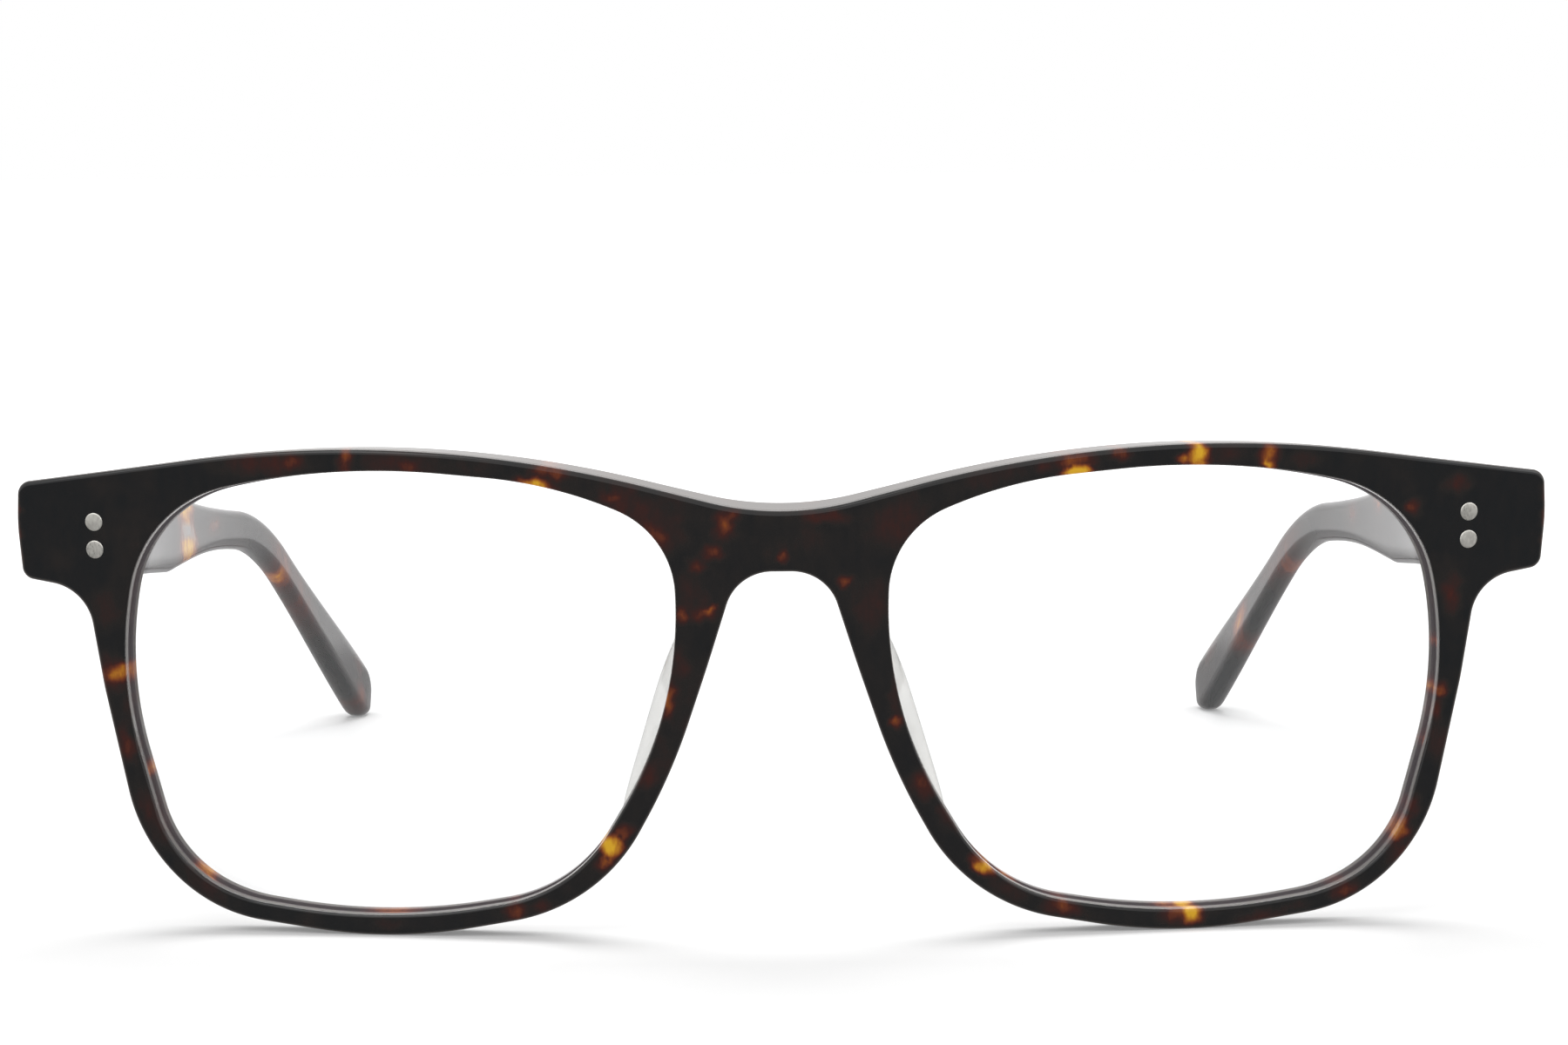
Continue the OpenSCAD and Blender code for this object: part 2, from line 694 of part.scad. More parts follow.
// A front rivet's axis, upper or lower, from the face back through the leaf.
module front_rivet_axis(up) {
    on_face(rivet_x, rivet_z + up * rivet_gap / 2)
        rotate([-90, 0, 0])
            children();
}

// A temple rivet's axis, pointing out through the temple.
temple_rivet_s = axis_point.y + temple_rivet_y - temple_y;
temple_rivet_at = middle(temple_rivet_s);
module temple_rivet_axis(up) {
    translate([temple_rivet_at.x, temple_rivet_at.y, temple_rivet_at.z + up * temple_rivet_gap / 2])
        rotate([0, 90, 0])
            children();
}

module front_frame() {
    color([0.16, 0.11, 0.09])
        placed()
            difference() {
                front_blank();
                for (side = [1, -1])
                    mirror([side > 0 ? 0 : 1, 0, 0]) {
                        front_plate(leaf_gap);
                        for (up = [1, -1])
                            front_rivet_axis(up)
                                translate([0, 0, -1])
                                    cylinder(d = rivet_d + 2 * rivet_play, h = front_t + 2);
                    }
            }
}

// One lens: a curved plate whose V edge sits in the groove of the rim.
lens_rings = 3;
module lens(side) {
    v = groove_d - lens_gap * 1.6;
    vw = groove_w / 2 - lens_gap;
    section = [
        [lens_gap, lens_back],
        [lens_gap, groove_t - vw],
        [lens_gap - v, groove_t],
        [lens_gap, groove_t + vw],
        [lens_gap, lens_back + lens_t]
    ];
    k = len(section);
    rim = [for (p = lens_loop) each [for (s = section)
        seated(leaned(wrap(p.x - s.x * p.z, p.y - s.x * p[3], s.y)))]];
    function inset(f, t) = [for (p = lens_loop)
        let (
            x = p.x - lens_gap * p.z,
            z = p.y - lens_gap * p[3]
        )
        seated(leaned(wrap(lens_cx + f * (x - lens_cx), lens_cz + f * (z - lens_cz), t)))];
    function cap_points(t) = concat(
        [for (i = [1 : lens_rings - 1]) each inset(1 - i / lens_rings, t)],
        [seated(leaned(wrap(lens_cx, lens_cz, t)))]
    );
    cap_1 = lens_n * k;
    cap_2 = cap_1 + lens_n * (lens_rings - 1) + 1;
    function cap_vertex(base, edge, i, j) =
        i == 0 ? (j % lens_n) * k + edge : base + (i - 1) * lens_n + j % lens_n;
    function cap(base, edge) = concat(
        [for (i = [0 : lens_rings - 2]) for (j = [0 : lens_n - 1])
            each [
                [cap_vertex(base, edge, i, j), cap_vertex(base, edge, i, j + 1),
                    cap_vertex(base, edge, i + 1, j + 1)],
                [cap_vertex(base, edge, i, j), cap_vertex(base, edge, i + 1, j + 1),
                    cap_vertex(base, edge, i + 1, j)]
            ]],
        [for (j = [0 : lens_n - 1])
            [cap_vertex(base, edge, lens_rings - 1, j), cap_vertex(base, edge, lens_rings - 1, j + 1),
                base + (lens_rings - 1) * lens_n]]
    );
    color([0.85, 0.88, 0.9, 0.35])
        placed(side)
            polyhedron(
                concat(rim, cap_points(lens_back), cap_points(lens_back + lens_t)),
                concat(strip(lens_n, k, 0), cap(cap_1, 0), flipped(cap(cap_2, k - 1))),
                convexity = 4
            );
}

// The nose side of the rim: its x at height z, read from the outer edge's own points.
nose_side = [for (i = [outer_n - 1 : -1 : 0])
    if (outer[i].x < lens_cx - 12 && outer[i].y < arch_top - 1 && outer[i].y > 4)
        [outer[i].y, outer[i].x]];
function nose_x(z) = lookup(z, [for (p = nose_side) p]);

// A glued nose pad: a leaf shaped plate that leaves the rim's back beside the nose and
// flares outwards as it goes back.
pad_rings = 18;
module nose_pad(side) {
    function swell(u, blunt) = pow(max(0, sin(180 * u)), blunt);
    function pad_ring(u) =
        let (
            z = pad_top + (pad_low - pad_top) * u,
            f = 0.22 + 0.78 * swell(u, 0.6),
            x = nose_x(z),
            slant = atan2(nose_x(z - 1) - nose_x(z + 1), 2),
            d = pad_deep * f,
            w = pad_flare * (1 - 0.26 * u) * (0.2 + 0.8 * swell(u, 0.3)),
            t = pad_t * (0.5 + 0.5 * f),
            back = depth_at(x) + bond,
            section = [
                [0.25, 0], [0.25 + t, 0],
                [0.45 * w + t * 0.95, d * 0.36], [0.8 * w + t * 0.75, d * 0.7],
                [w + t * 0.35, d * 0.93], [w, d], [w - t * 0.3, d * 0.93],
                [0.62 * w - t * 0.1, d * 0.7], [0.3 * w + 0.05, d * 0.4],
                [0.08 * w + 0.22, d * 0.14]
            ]
        )
        [for (p = section)
            seated(leaned(wrap(x + p.x * cos(slant), z + p.x * sin(slant), back + p.y)))];
    rings = [for (i = [0 : pad_rings]) pad_ring(i / pad_rings)];
    m = len(rings[0]);
    n = len(rings);
    color([0.9, 0.92, 0.92, 0.6])
        placed(side)
            polyhedron(
                [for (r = rings) each r],
                concat(
                    skin(n, m, 0),
                    [[for (i = [m - 1 : -1 : 0]) i]],
                    [[for (i = [0 : m - 1]) (n - 1) * m + i]]
                ),
                convexity = 4
            );
}

module front_hinge(side) {
    color([0.75, 0.75, 0.76])
        placed(side)
            difference() {
                union() {
                    front_plate(0);
                    translate(axis_point)
                        rotate([0, 0, axis_turn]) {
                            knuckles([0, 2, 4]);
                            webs([0, 2, 4], -knuckle_r, 0, -axis_back - 0.05, 0);
                        }
                }
                translate(axis_point)
                    screw_hole();
                for (up = [1, -1])
                    front_rivet_axis(up)
                        cylinder(d = rivet_d + 2 * rivet_play, h = 12);
            }
}

module temple_hinge(side) {
    color([0.75, 0.75, 0.76])
        placed(side)
            difference() {
                union() {
                    temple_plate(0);
                    translate(axis_point) {
                        knuckles([1, 3]);
                        webs([1, 3], 0, axis_in + 0.1, 0, knuckle_r);
                    }
                }
                translate(axis_point)
                    screw_hole();
                for (up = [1, -1])
                    temple_rivet_axis(up)
                        cylinder(d = rivet_d + 2 * rivet_play, h = 12, center = true);
            }
}

module front_rivet(side, up) {
    color([0.72, 0.7, 0.68])
        placed(side)
            front_rivet_axis(up)
                translate([0, 0, -rivet_proud])
                    cylinder(d = rivet_d, h = front_t + leaf_proud + 0.1 + rivet_proud);
}

module temple_rivet(side, up) {
    w = thick_at(temple_rivet_s, temple_len) / 2;
    color([0.72, 0.7, 0.68])
        placed(side)
            temple_rivet_axis(up)
                translate([0, 0, -w - leaf_proud - 0.1])
                    cylinder(d = rivet_d, h = 2 * w + leaf_proud + 0.1 + rivet_proud);
}

// The hinge screw: a threaded shank shown plain, a flat head with a slot on the top knuckle.
screw_head_h = 0.55;
slot_w = 0.35;
slot_d = 0.3;
module hinge_screw(side) {
    color([0.78, 0.77, 0.75])
        placed(side)
            translate(axis_point)
                difference() {
                    union() {
                        translate([0, 0, -barrel_h / 2 - 0.1])
                            cylinder(d = screw_d, h = barrel_h + 0.2);
                        translate([0, 0, barrel_h / 2 + 0.02])
                            cylinder(d = screw_head_d, h = screw_head_h);
                    }
                    translate([0, 0, barrel_h / 2 + 0.02 + screw_head_h])
                        cube([slot_w, screw_head_d + 1, 2 * slot_d], center = true);
                }
}

module temple(side) {
    color([0.15, 0.1, 0.09])
        placed(side)
            difference() {
                temple_blank();
                temple_plate(leaf_gap);
                for (up = [1, -1])
                    temple_rivet_axis(up)
                        cylinder(d = rivet_d + 2 * rivet_play, h = 12, center = true);
            }
}

module core_wire(side) {
    rings = wire_rings(0, 0.3, temple_len - wire_short);
    n = len(rings);
    color([0.6, 0.6, 0.62])
        placed(side)
            polyhedron(
                [for (r = rings) each r],
                concat(
                    skin(n, wire_m, 0),
                    [[for (i = [wire_m - 1 : -1 : 0]) i]],
                    [[for (i = [0 : wire_m - 1]) (n - 1) * wire_m + i]]
                ),
                convexity = 4
            );
}

front_frame();
lens(1);  // lens_left
lens(-1);  // lens_right
nose_pad(1);  // nose_pad_left
nose_pad(-1);  // nose_pad_right
front_hinge(1);  // front_hinge_left
front_hinge(-1);  // front_hinge_right
front_rivet(1, 1);  // front_rivet_left_upper
front_rivet(1, -1);  // front_rivet_left_lower
front_rivet(-1, 1);  // front_rivet_right_upper
front_rivet(-1, -1);  // front_rivet_right_lower
temple(1);  // temple_left
temple(-1);  // temple_right
core_wire(1);  // core_wire_left
core_wire(-1);  // core_wire_right
temple_hinge(1);  // temple_hinge_left
temple_hinge(-1);  // temple_hinge_right
temple_rivet(1, 1);  // temple_rivet_left_upper
temple_rivet(1, -1);  // temple_rivet_left_lower
temple_rivet(-1, 1);  // temple_rivet_right_upper
temple_rivet(-1, -1);  // temple_rivet_right_lower
hinge_screw(1);  // hinge_screw_left
hinge_screw(-1);  // hinge_screw_right
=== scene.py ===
# Rectangular full rim eyeglasses of dark tortoise acetate, with clear lenses and glued clear pads.
# Shapes are worked out in millimetres and written to the meshes in metres.
import json
import math

import bmesh
import bpy
import numpy as np
from mathutils import Matrix, Vector
from mathutils.geometry import delaunay_2d_cdt


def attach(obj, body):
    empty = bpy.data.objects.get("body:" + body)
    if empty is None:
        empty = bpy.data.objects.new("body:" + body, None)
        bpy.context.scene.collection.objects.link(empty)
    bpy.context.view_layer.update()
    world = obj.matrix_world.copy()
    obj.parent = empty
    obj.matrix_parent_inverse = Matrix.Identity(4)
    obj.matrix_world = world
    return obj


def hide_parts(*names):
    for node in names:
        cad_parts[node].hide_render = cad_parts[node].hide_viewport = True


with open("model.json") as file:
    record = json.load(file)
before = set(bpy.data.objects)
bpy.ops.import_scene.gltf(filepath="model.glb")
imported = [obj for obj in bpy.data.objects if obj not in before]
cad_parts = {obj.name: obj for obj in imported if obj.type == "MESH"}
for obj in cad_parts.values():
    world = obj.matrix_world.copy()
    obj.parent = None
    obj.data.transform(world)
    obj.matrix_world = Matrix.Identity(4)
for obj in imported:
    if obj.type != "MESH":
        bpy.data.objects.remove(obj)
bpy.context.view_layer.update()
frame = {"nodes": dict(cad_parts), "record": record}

scene = bpy.context.scene
scene.view_settings.view_transform = "Standard"
sides = ((1, "Left"), (-1, "Right"))  # the wearer's, left is +X
print("frame loaded:", len(frame["nodes"]), "nodes")


# Meshes from grids of points.

def eased(s, a, b):
    # Rises from 0 at a to 1 at b as 3u^2 - 2u^3, level at both ends.
    u = np.clip((np.asarray(s, float) - a) / (b - a), 0, 1)
    return u * u * (3 - 2 * u)


def gridFaces(rows, columns, start=0):
    # Quads between neighbouring rows of a grid whose columns close on themselves.
    i = np.arange(rows - 1)[:, None] * columns + start
    j = np.arange(columns)[None, :]
    k = (j + 1) % columns
    quads = np.stack([i + j, i + k, i + k + columns, i + j + columns], -1)
    return quads.reshape(-1, 4)


def poleFaces(pole, ring, columns):
    # Triangles from one point to a ring of columns points that starts at vertex ring.
    j = np.arange(columns)
    return np.stack([np.full(columns, pole), ring + j, ring + (j + 1) % columns], -1)


def addObject(name, data):
    item = bpy.data.objects.new(name, data)
    scene.collection.objects.link(item)
    return item


def readPoints(items, key):
    # A mesh's vertices or face centres in mm.
    values = np.empty(len(items) * 3)
    items.foreach_get(key, values)
    return values.reshape(-1, 3) * 1000


def setMark(mesh, title, values):
    # A number at every vertex, which the materials read by its title.
    layer = mesh.attributes.new(title, "FLOAT", "POINT")
    layer.data.foreach_set("value", np.asarray(values, np.float32))


def makePiece(name, points, faces, marks=None, angle=35.0):
    # A mesh from points in mm, welded, with its faces turned outwards and smooth up to angle.
    mesh = bpy.data.meshes.new(name)
    mesh.from_pydata((np.asarray(points) * 0.001).tolist(), [], faces)
    for title, values in (marks or {}).items():
        setMark(mesh, title, values)
    work = bmesh.new()
    work.from_mesh(mesh)
    bmesh.ops.remove_doubles(work, verts=work.verts, dist=2e-6)
    bmesh.ops.dissolve_degenerate(work, edges=work.edges, dist=1e-6)
    bmesh.ops.recalc_face_normals(work, faces=work.faces)
    if work.calc_volume(signed=True) < 0:
        bmesh.ops.reverse_faces(work, faces=work.faces)
    work.to_mesh(mesh)
    work.free()
    mesh.shade_smooth()
    mesh.set_sharp_from_angle(angle=math.radians(angle))
    return addObject(name, mesh)


def endPoles(rings):
    # The middles of the first and the last ring.
    return np.stack([rings[0].mean(0), rings[-1].mean(0)])


def closedGrid(name, rings, poles, marks=None, angle=35.0):
    # A skin over rings of points, closed by a pole before the first ring and one after the last.
    count, columns = rings.shape[:2]
    points = np.vstack([rings.reshape(-1, 3), poles])
    first, last = count * columns, count * columns + 1
    faces = gridFaces(count, columns).tolist()
    faces += poleFaces(first, 0, columns)[:, ::-1].tolist()
    faces += poleFaces(last, (count - 1) * columns, columns).tolist()
    return makePiece(name, points, faces, marks, angle)


def dress(piece, material):
    piece.data.materials.clear()
    piece.data.materials.append(material)


def settle(piece, body, nodes, material):
    # Finishes a piece: its body, its finish, and the CAD nodes it stands for.
    dress(piece, material)
    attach(piece, body)
    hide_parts(*nodes)


# Shader trees and the materials.

def feed(tree, node, feeds):
    # A feed is a socket to link from, or a value to set.
    for key, value in feeds.items():
        if isinstance(value, bpy.types.NodeSocket):
            tree.links.new(value, node.inputs[key])
        else:
            node.inputs[key].default_value = value


def addNode(tree, kind, props=None, feeds=None):
    node = tree.nodes.new(kind)
    for key, value in (props or {}).items():
        setattr(node, key, value)
    feed(tree, node, feeds or {})
    return node


def sums(tree, operation, total, *others, clamp=False):
    # Math nodes in a row, one for each further value.
    for value in others:
        total = addNode(tree, "ShaderNodeMath", {"operation": operation, "use_clamp": clamp},
                        {0: total, 1: value}).outputs[0]
    return total


def mapped(tree, value, low, high, start=0.0, end=1.0, way="SMOOTHSTEP"):
    # Runs from start at low to end at high, and is level outside them.
    return addNode(tree, "ShaderNodeMapRange", {"interpolation_type": way}, {
        "Value": value, "From Min": low, "From Max": high,
        "To Min": start, "To Max": end}).outputs["Result"]


def mixColours(tree, share, a, b, way="MIX"):
    return addNode(tree, "ShaderNodeMix", {"data_type": "RGBA", "blend_type": way},
                   {"Factor": share, "A": a, "B": b}).outputs["Result"]


def noise(tree, place, scale, detail, rough=0.5):
    # Cloudy values around 0.5, with scale clouds to the metre.
    return addNode(tree, "ShaderNodeTexNoise", None, {
        "Vector": place, "Scale": scale, "Detail": detail, "Roughness": rough}).outputs["Fac"]


def stretched(tree, place, scale, turn=(0.0, 0.0, 0.0)):
    # Scales the place along its axes and then turns it.
    return addNode(tree, "ShaderNodeMapping", None,
                   {"Vector": place, "Scale": scale, "Rotation": turn}).outputs[0]


def edgeOn(tree, low, high):
    # 0 where the surface faces the eye and 1 where it is seen edge on.
    facing = addNode(tree, "ShaderNodeLayerWeight", None, {"Blend": 0.5}).outputs["Facing"]
    return mapped(tree, facing, low, high)


def ramp(tree, value, stops):
    # A colour ramp with stops of (position, colour).
    node = addNode(tree, "ShaderNodeValToRGB", None, {"Fac": value})
    while len(node.color_ramp.elements) < len(stops):
        node.color_ramp.elements.new(0.5)
    for element, (place, colour) in zip(node.color_ramp.elements, stops):
        element.position = place
        element.color = (*colour, 1.0)
    return node.outputs["Color"]


def newGroup(name, inputs, outputs):
    # An empty shader group, with what its input gives and its output node. An input with no
    # number is a vector, and the output Color is a colour.
    group = bpy.data.node_groups.new(name, "ShaderNodeTree")
    for title, value in inputs.items():
        kind = "NodeSocketVector" if value is None else "NodeSocketFloat"
        socket = group.interface.new_socket(name=title, in_out="INPUT", socket_type=kind)
        if value is not None:
            socket.default_value = value
    for title in outputs:
        kind = "NodeSocketColor" if title == "Color" else "NodeSocketFloat"
        group.interface.new_socket(name=title, in_out="OUTPUT", socket_type=kind)
    return group, addNode(group, "NodeGroupInput").outputs, addNode(group, "NodeGroupOutput")


def useGroup(tree, group, feeds):
    return addNode(tree, "ShaderNodeGroup", {"node_tree": group}, feeds).outputs


def tortoiseMottleGroup():
    # Tone = given tint + streaky ruffles at its edge + faint cloudy mottles. It runs from
    # blue black through maroon and amber to yellow.
    group, given, out = newGroup(
        "tortoiseMottle", {"Vector": None, "Tint": 0.0, "Clouds": 0.3}, ("Color", "Tone"))
    cloud = noise(group, given["Vector"], 150.0, 3.0, 0.55)
    ruffle = noise(group, stretched(group, given["Vector"], (1.0, 1.0, 0.42)), 900.0, 4.0, 0.62)
    lifted = sums(group, "MAXIMUM", sums(group, "SUBTRACT", cloud, 0.5), 0.0)
    clouds = sums(group, "MULTIPLY", lifted, 3.0, given["Clouds"])
    wave = sums(group, "SUBTRACT", ruffle, 0.5)
    reach = sums(group, "MULTIPLY", sums(group, "ADD", given["Tint"], 0.1), 0.95)
    ruffled = sums(group, "ADD", given["Tint"], sums(group, "MULTIPLY", wave, reach))
    tone = sums(group, "ADD", ruffled, clouds, clamp=True)
    colour = ramp(group, tone, [
        (0.0, (0.0054, 0.0068, 0.0082)), (0.10, (0.015, 0.012, 0.011)),
        (0.20, (0.028, 0.0115, 0.010)), (0.32, (0.050, 0.0095, 0.0065)),
        (0.46, (0.135, 0.027, 0.0085)), (0.60, (0.27, 0.068, 0.0075)),
        (0.78, (0.52, 0.20, 0.012)), (1.0, (0.80, 0.44, 0.020))])
    feed(group, out, {"Color": colour, "Tone": tone})
    return group


def polishWearGroup():
    # Roughness = base, clouded by handling and scored by fine hairlines. Height has the hairlines.
    group, given, out = newGroup(
        "polishWear", {"Vector": None, "Base": 0.08, "Haze": 0.06}, ("Roughness", "Height"))
    haze = noise(group, given["Vector"], 95.0, 4.0, 0.6)
    along = stretched(group, given["Vector"], (1.0, 0.12, 1.6), (0.0, 0.35, 0.2))
    hair = noise(group, along, 2600.0, 2.0)
    hazy = sums(group, "MULTIPLY", haze, given["Haze"])
    fine = sums(group, "MULTIPLY", hair, given["Haze"], 0.6)
    feed(group, out, {"Roughness": sums(group, "ADD", given["Base"], hazy, fine), "Height": hair})
    return group


def metalGrainGroup():
    # Short grains stretched along Z: they vary shade, roughness and height together.
    group, given, out = newGroup(
        "metalGrain", {"Vector": None, "Base": 0.3, "Depth": 0.2, "Size": 2400.0},
        ("Shade", "Roughness", "Height"))
    along = stretched(group, given["Vector"], (1.0, 1.0, 0.35))
    grain = noise(group, along, given["Size"], 3.0, 0.65)
    stain = noise(group, given["Vector"], 700.0, 2.0)
    both = sums(group, "ADD", sums(group, "MULTIPLY", grain, 0.6),
                sums(group, "MULTIPLY", stain, 0.4))
    shift = sums(group, "MULTIPLY", sums(group, "SUBTRACT", both, 0.5), given["Depth"])
    feed(group, out, {"Shade": sums(group, "ADD", shift, 1.0), "Height": grain,
                      "Roughness": sums(group, "ADD", given["Base"], shift)})
    return group


tortoiseMottle = tortoiseMottleGroup()
polishWear = polishWearGroup()
metalGrain = metalGrainGroup()


def newMaterial(name):
    # A material with its tree, its shader and the object's own coordinates.
    material = bpy.data.materials.new(name)
    material.use_nodes = True
    tree = material.node_tree
    place = addNode(tree, "ShaderNodeTexCoord").outputs["Object"]
    return material, tree, tree.nodes["Principled BSDF"], place


def bumped(tree, shader, height, depth):
    # A bump of that depth in metres feeds the shader's normal.
    node = addNode(tree, "ShaderNodeBump", None,
                   {"Strength": 1.0, "Distance": depth, "Height": height})
    feed(tree, shader, {"Normal": node.outputs[0]})


def tortoiseMaterial(name, look):
    # Polished acetate: the tint attribute gives the amber places, and on the front also a painted
    # highlight down the endpieces' outer edges, and core the wire that shows there. A painted
    # milky sheen, added to the base colour, lifts what is seen edge on, in place of light
    # scattered inside the sheet.
    material, tree, shader, place = newMaterial(name)
    tint, core = (addNode(tree, "ShaderNodeAttribute", {"attribute_name": title}).outputs["Fac"]
                  for title in ("tint", "core"))
    mottle = useGroup(tree, tortoiseMottle,
                      {"Vector": place, "Tint": tint, "Clouds": look["clouds"]})
    shown = sums(tree, "MULTIPLY", core, mapped(tree, mottle["Tone"], *look["wireFrom"]))
    colour = mixColours(tree, shown, mottle["Color"], (*look["wire"], 1.0))
    # Painted sheen: a pale colour is added to the base colour where the surface is seen edge on.
    sheenPainted = mixColours(tree, edgeOn(tree, *look["paintedSheenFrom"]), colour, (*look["paintedSheen"], 1.0), "ADD")
    wear = useGroup(tree, polishWear,
                    {"Vector": place, "Base": look["rough"], "Haze": look["haze"]})
    feed(tree, shader, {"Base Color": sheenPainted, "Roughness": wear["Roughness"],
                        "IOR": look["ior"], "Specular IOR Level": look["shine"]})
    if look["bump"] > 0.0:
        bumped(tree, shader, wear["Height"], look["bump"])
    return material


def metalMaterial(name, look):
    # Metal whose grain darkens, roughens and lifts it together.
    material, tree, shader, place = newMaterial(name)
    grain = useGroup(tree, metalGrain, {"Vector": place, "Base": look["rough"],
                                        "Depth": look["grain"], "Size": look["size"]})
    colour = mixColours(tree, 1.0, (*look["colour"], 1.0), grain["Shade"], "MULTIPLY")
    feed(tree, shader, {"Base Color": colour, "Roughness": grain["Roughness"], "Metallic": 1.0})
    bumped(tree, shader, grain["Height"], look["bump"])
    return material


def clearMaterial(name, look):
    # Clear plastic whose rim gets a painted shade where it is seen edge on, in place of the dark
    # that its edges refract. Light from lamps passes it, so that it doesn't darken what stands
    # behind.
    material, tree, shader, place = newMaterial(name)
    smear = noise(tree, place, look["smear"], 3.0, 0.6)
    shade = ramp(tree, smear, [(0.3, look["colour"]), (0.8, look["deep"])])
    # Painted shade: the rim colour is mixed in where the surface is seen edge on.
    rim = mixColours(tree, edgeOn(tree, *look["rim"]), shade, (*look["edge"], 1.0))
    feed(tree, shader, {"Base Color": rim, "Roughness": look["rough"], "IOR": look["ior"],
                        "Specular IOR Level": look["shine"], "Transmission Weight": 1.0})
    light = addNode(tree, "ShaderNodeLightPath").outputs
    passing = sums(tree, "MAXIMUM", light["Is Shadow Ray"], light["Is Diffuse Ray"])
    through = addNode(tree, "ShaderNodeBsdfTransparent", None, {"Color": (*look["pass"], 1.0)})
    mixed = addNode(tree, "ShaderNodeMixShader", None,
                    {0: passing, 1: shader.outputs[0], 2: through.outputs[0]})
    feed(tree, tree.nodes["Material Output"], {"Surface": mixed.outputs[0]})
    return material


# Each look adds a pale colour to the base where the sheet is seen edge on: a painted sheen.
sheetLook = {
    "clouds": 0.18, "rough": 0.06, "haze": 0.05, "shine": 0.5, "ior": 1.48,
    "paintedSheen": (0.11, 0.092, 0.082), "paintedSheenFrom": (0.15, 0.85), "wire": (0.30, 0.28, 0.27),
    "wireFrom": (0.35, 0.75), "bump": 0.00000025}
tortoise = tortoiseMaterial("tortoiseAcetate", sheetLook)
# The faces behind the lens edges get no gloss, and the pale colour lies evenly over all of them: a
# painted sheen in place of the light that shows on them through the lens.
seatedTortoisePaintedSheen = tortoiseMaterial("seatedAcetatePaintedSheen", {
    **sheetLook, "shine": 0.0, "paintedSheen": (0.098, 0.086, 0.091), "paintedSheenFrom": (-2.0, -1.0)})
templeTortoise = tortoiseMaterial("templeAcetate", {
    **sheetLook, "shine": 0.36, "paintedSheen": (0.105, 0.094, 0.094), "paintedSheenFrom": (0.3, 0.95),
    "bump": 0.0})
# The lens's rim gets a faint painted bluish shade where it is seen edge on.
lensClear = clearMaterial("clearLens", {
    "smear": 60.0, "rough": 0.0, "colour": (0.994, 0.997, 0.998), "deep": (0.988, 0.993, 0.996),
    "rim": (0.7, 1.0), "edge": (0.90, 0.94, 0.97), "ior": 1.5, "shine": 0.5,
    "pass": (0.98, 0.98, 0.98)})
# The pad's rim gets a dark painted shade where it is seen edge on, which draws its outline.
padClear = clearMaterial("clearPad", {
    "smear": 420.0, "rough": 0.05, "colour": (0.775, 0.77, 0.75), "deep": (0.64, 0.63, 0.61),
    "rim": (0.45, 0.95), "edge": (0.22, 0.22, 0.21), "ior": 1.48, "shine": 0.5,
    "pass": (0.9, 0.9, 0.9)})
rivetMetal = metalMaterial("rivetMetal", {
    "colour": (0.87, 0.85, 0.79), "rough": 0.36, "grain": 0.8, "size": 6800.0, "bump": 0.000006})
hingeMetal = metalMaterial("hingeMetal", {
    "colour": (0.66, 0.65, 0.63), "rough": 0.3, "grain": 0.22, "size": 2600.0, "bump": 0.000002})
coreMetal = metalMaterial("coreMetal", {
    "colour": (0.5, 0.49, 0.47), "rough": 0.34, "grain": 0.25, "size": 2600.0, "bump": 0.000002})
screwMetal = metalMaterial("screwMetal", {
    "colour": (0.7, 0.69, 0.67), "rough": 0.2, "grain": 0.15, "size": 3400.0, "bump": 0.000001})
print("materials made")


# The front: a flat outline laid on the face curve.

frontShape = {
    "lensW": 52.0, "lensH": 41.6, "bridgeW": 19.6, "endReach": 9.6, "endH": 9.05, "endDrop": 1.5,
    "rimLow": 1.75, "rimSide": 2.6, "bridgeH": 5.7, "bridgeDrop": 3.15, "saddleW": 6.8,
    "archW": 8.2, "faceR": 280.0, "frontT": 3.8, "bridgeT": 4.8, "bridgeFade": 4.0,
    "lean": 4.0, "twist": 8.0, "lift": 0.0071, "centreY": -68.56, "rivetDrop": 4.8,
    "grooveDeep": 0.65, "grooveWide": 1.3, "lensBack": 0.9, "lensT": 2.0, "seatReach": 0.9,
    "edgeR": 0.5, "edgeSteps": 6, "lipR": 0.3, "lipSteps": 4,
    "spacing": 0.5, "turnStep": 0.14, "arcSteps": 40, "ring": 0.12,
    "sheetStep": 0.34, "rowShare": 0.866, "sheetHigh": 48.0, "clearShare": 0.55,
}
fs = frontShape
lensX = (fs["bridgeW"] + fs["lensW"]) / 2
lensZ = fs["rimLow"] + fs["lensH"] / 2
lensTop = fs["rimLow"] + fs["lensH"]
lensOut = fs["bridgeW"] / 2 + fs["lensW"]
bridgeTop = lensTop - fs["bridgeDrop"]
archTop = bridgeTop - fs["bridgeH"]
endTop = lensTop - fs["endDrop"]
endLow = endTop - fs["endH"]
endX = lensOut + fs["endReach"]
rivetZ = endTop - fs["rivetDrop"]
grooveT = fs["lensBack"] + fs["lensT"] / 2
lensRear = fs["lensBack"] + fs["lensT"]

# Corners of the lens opening from its middle, each with the radius that rounds it.
lensCorners = np.array([
    (-25.8, 15.5, 8.7), (-15.0, 20.1, 39), (5.2, 21.8, 65), (23.2, 17.6, 12.5), (26.4, 1.6, 35),
    (21.7, -16.4, 11.5), (14.9, -19.7, 14.7), (1.5, -21.5, 59), (-16.2, -18.3, 14.5),
    (-26.4, -1.1, 37)]) + (lensX, lensZ, 0)


def rimCorner(i, x, z, radius):
    # An outer corner set off by x, z from corner i of the lens opening.
    return (lensCorners[i][0] + x, lensCorners[i][1] + z, radius)


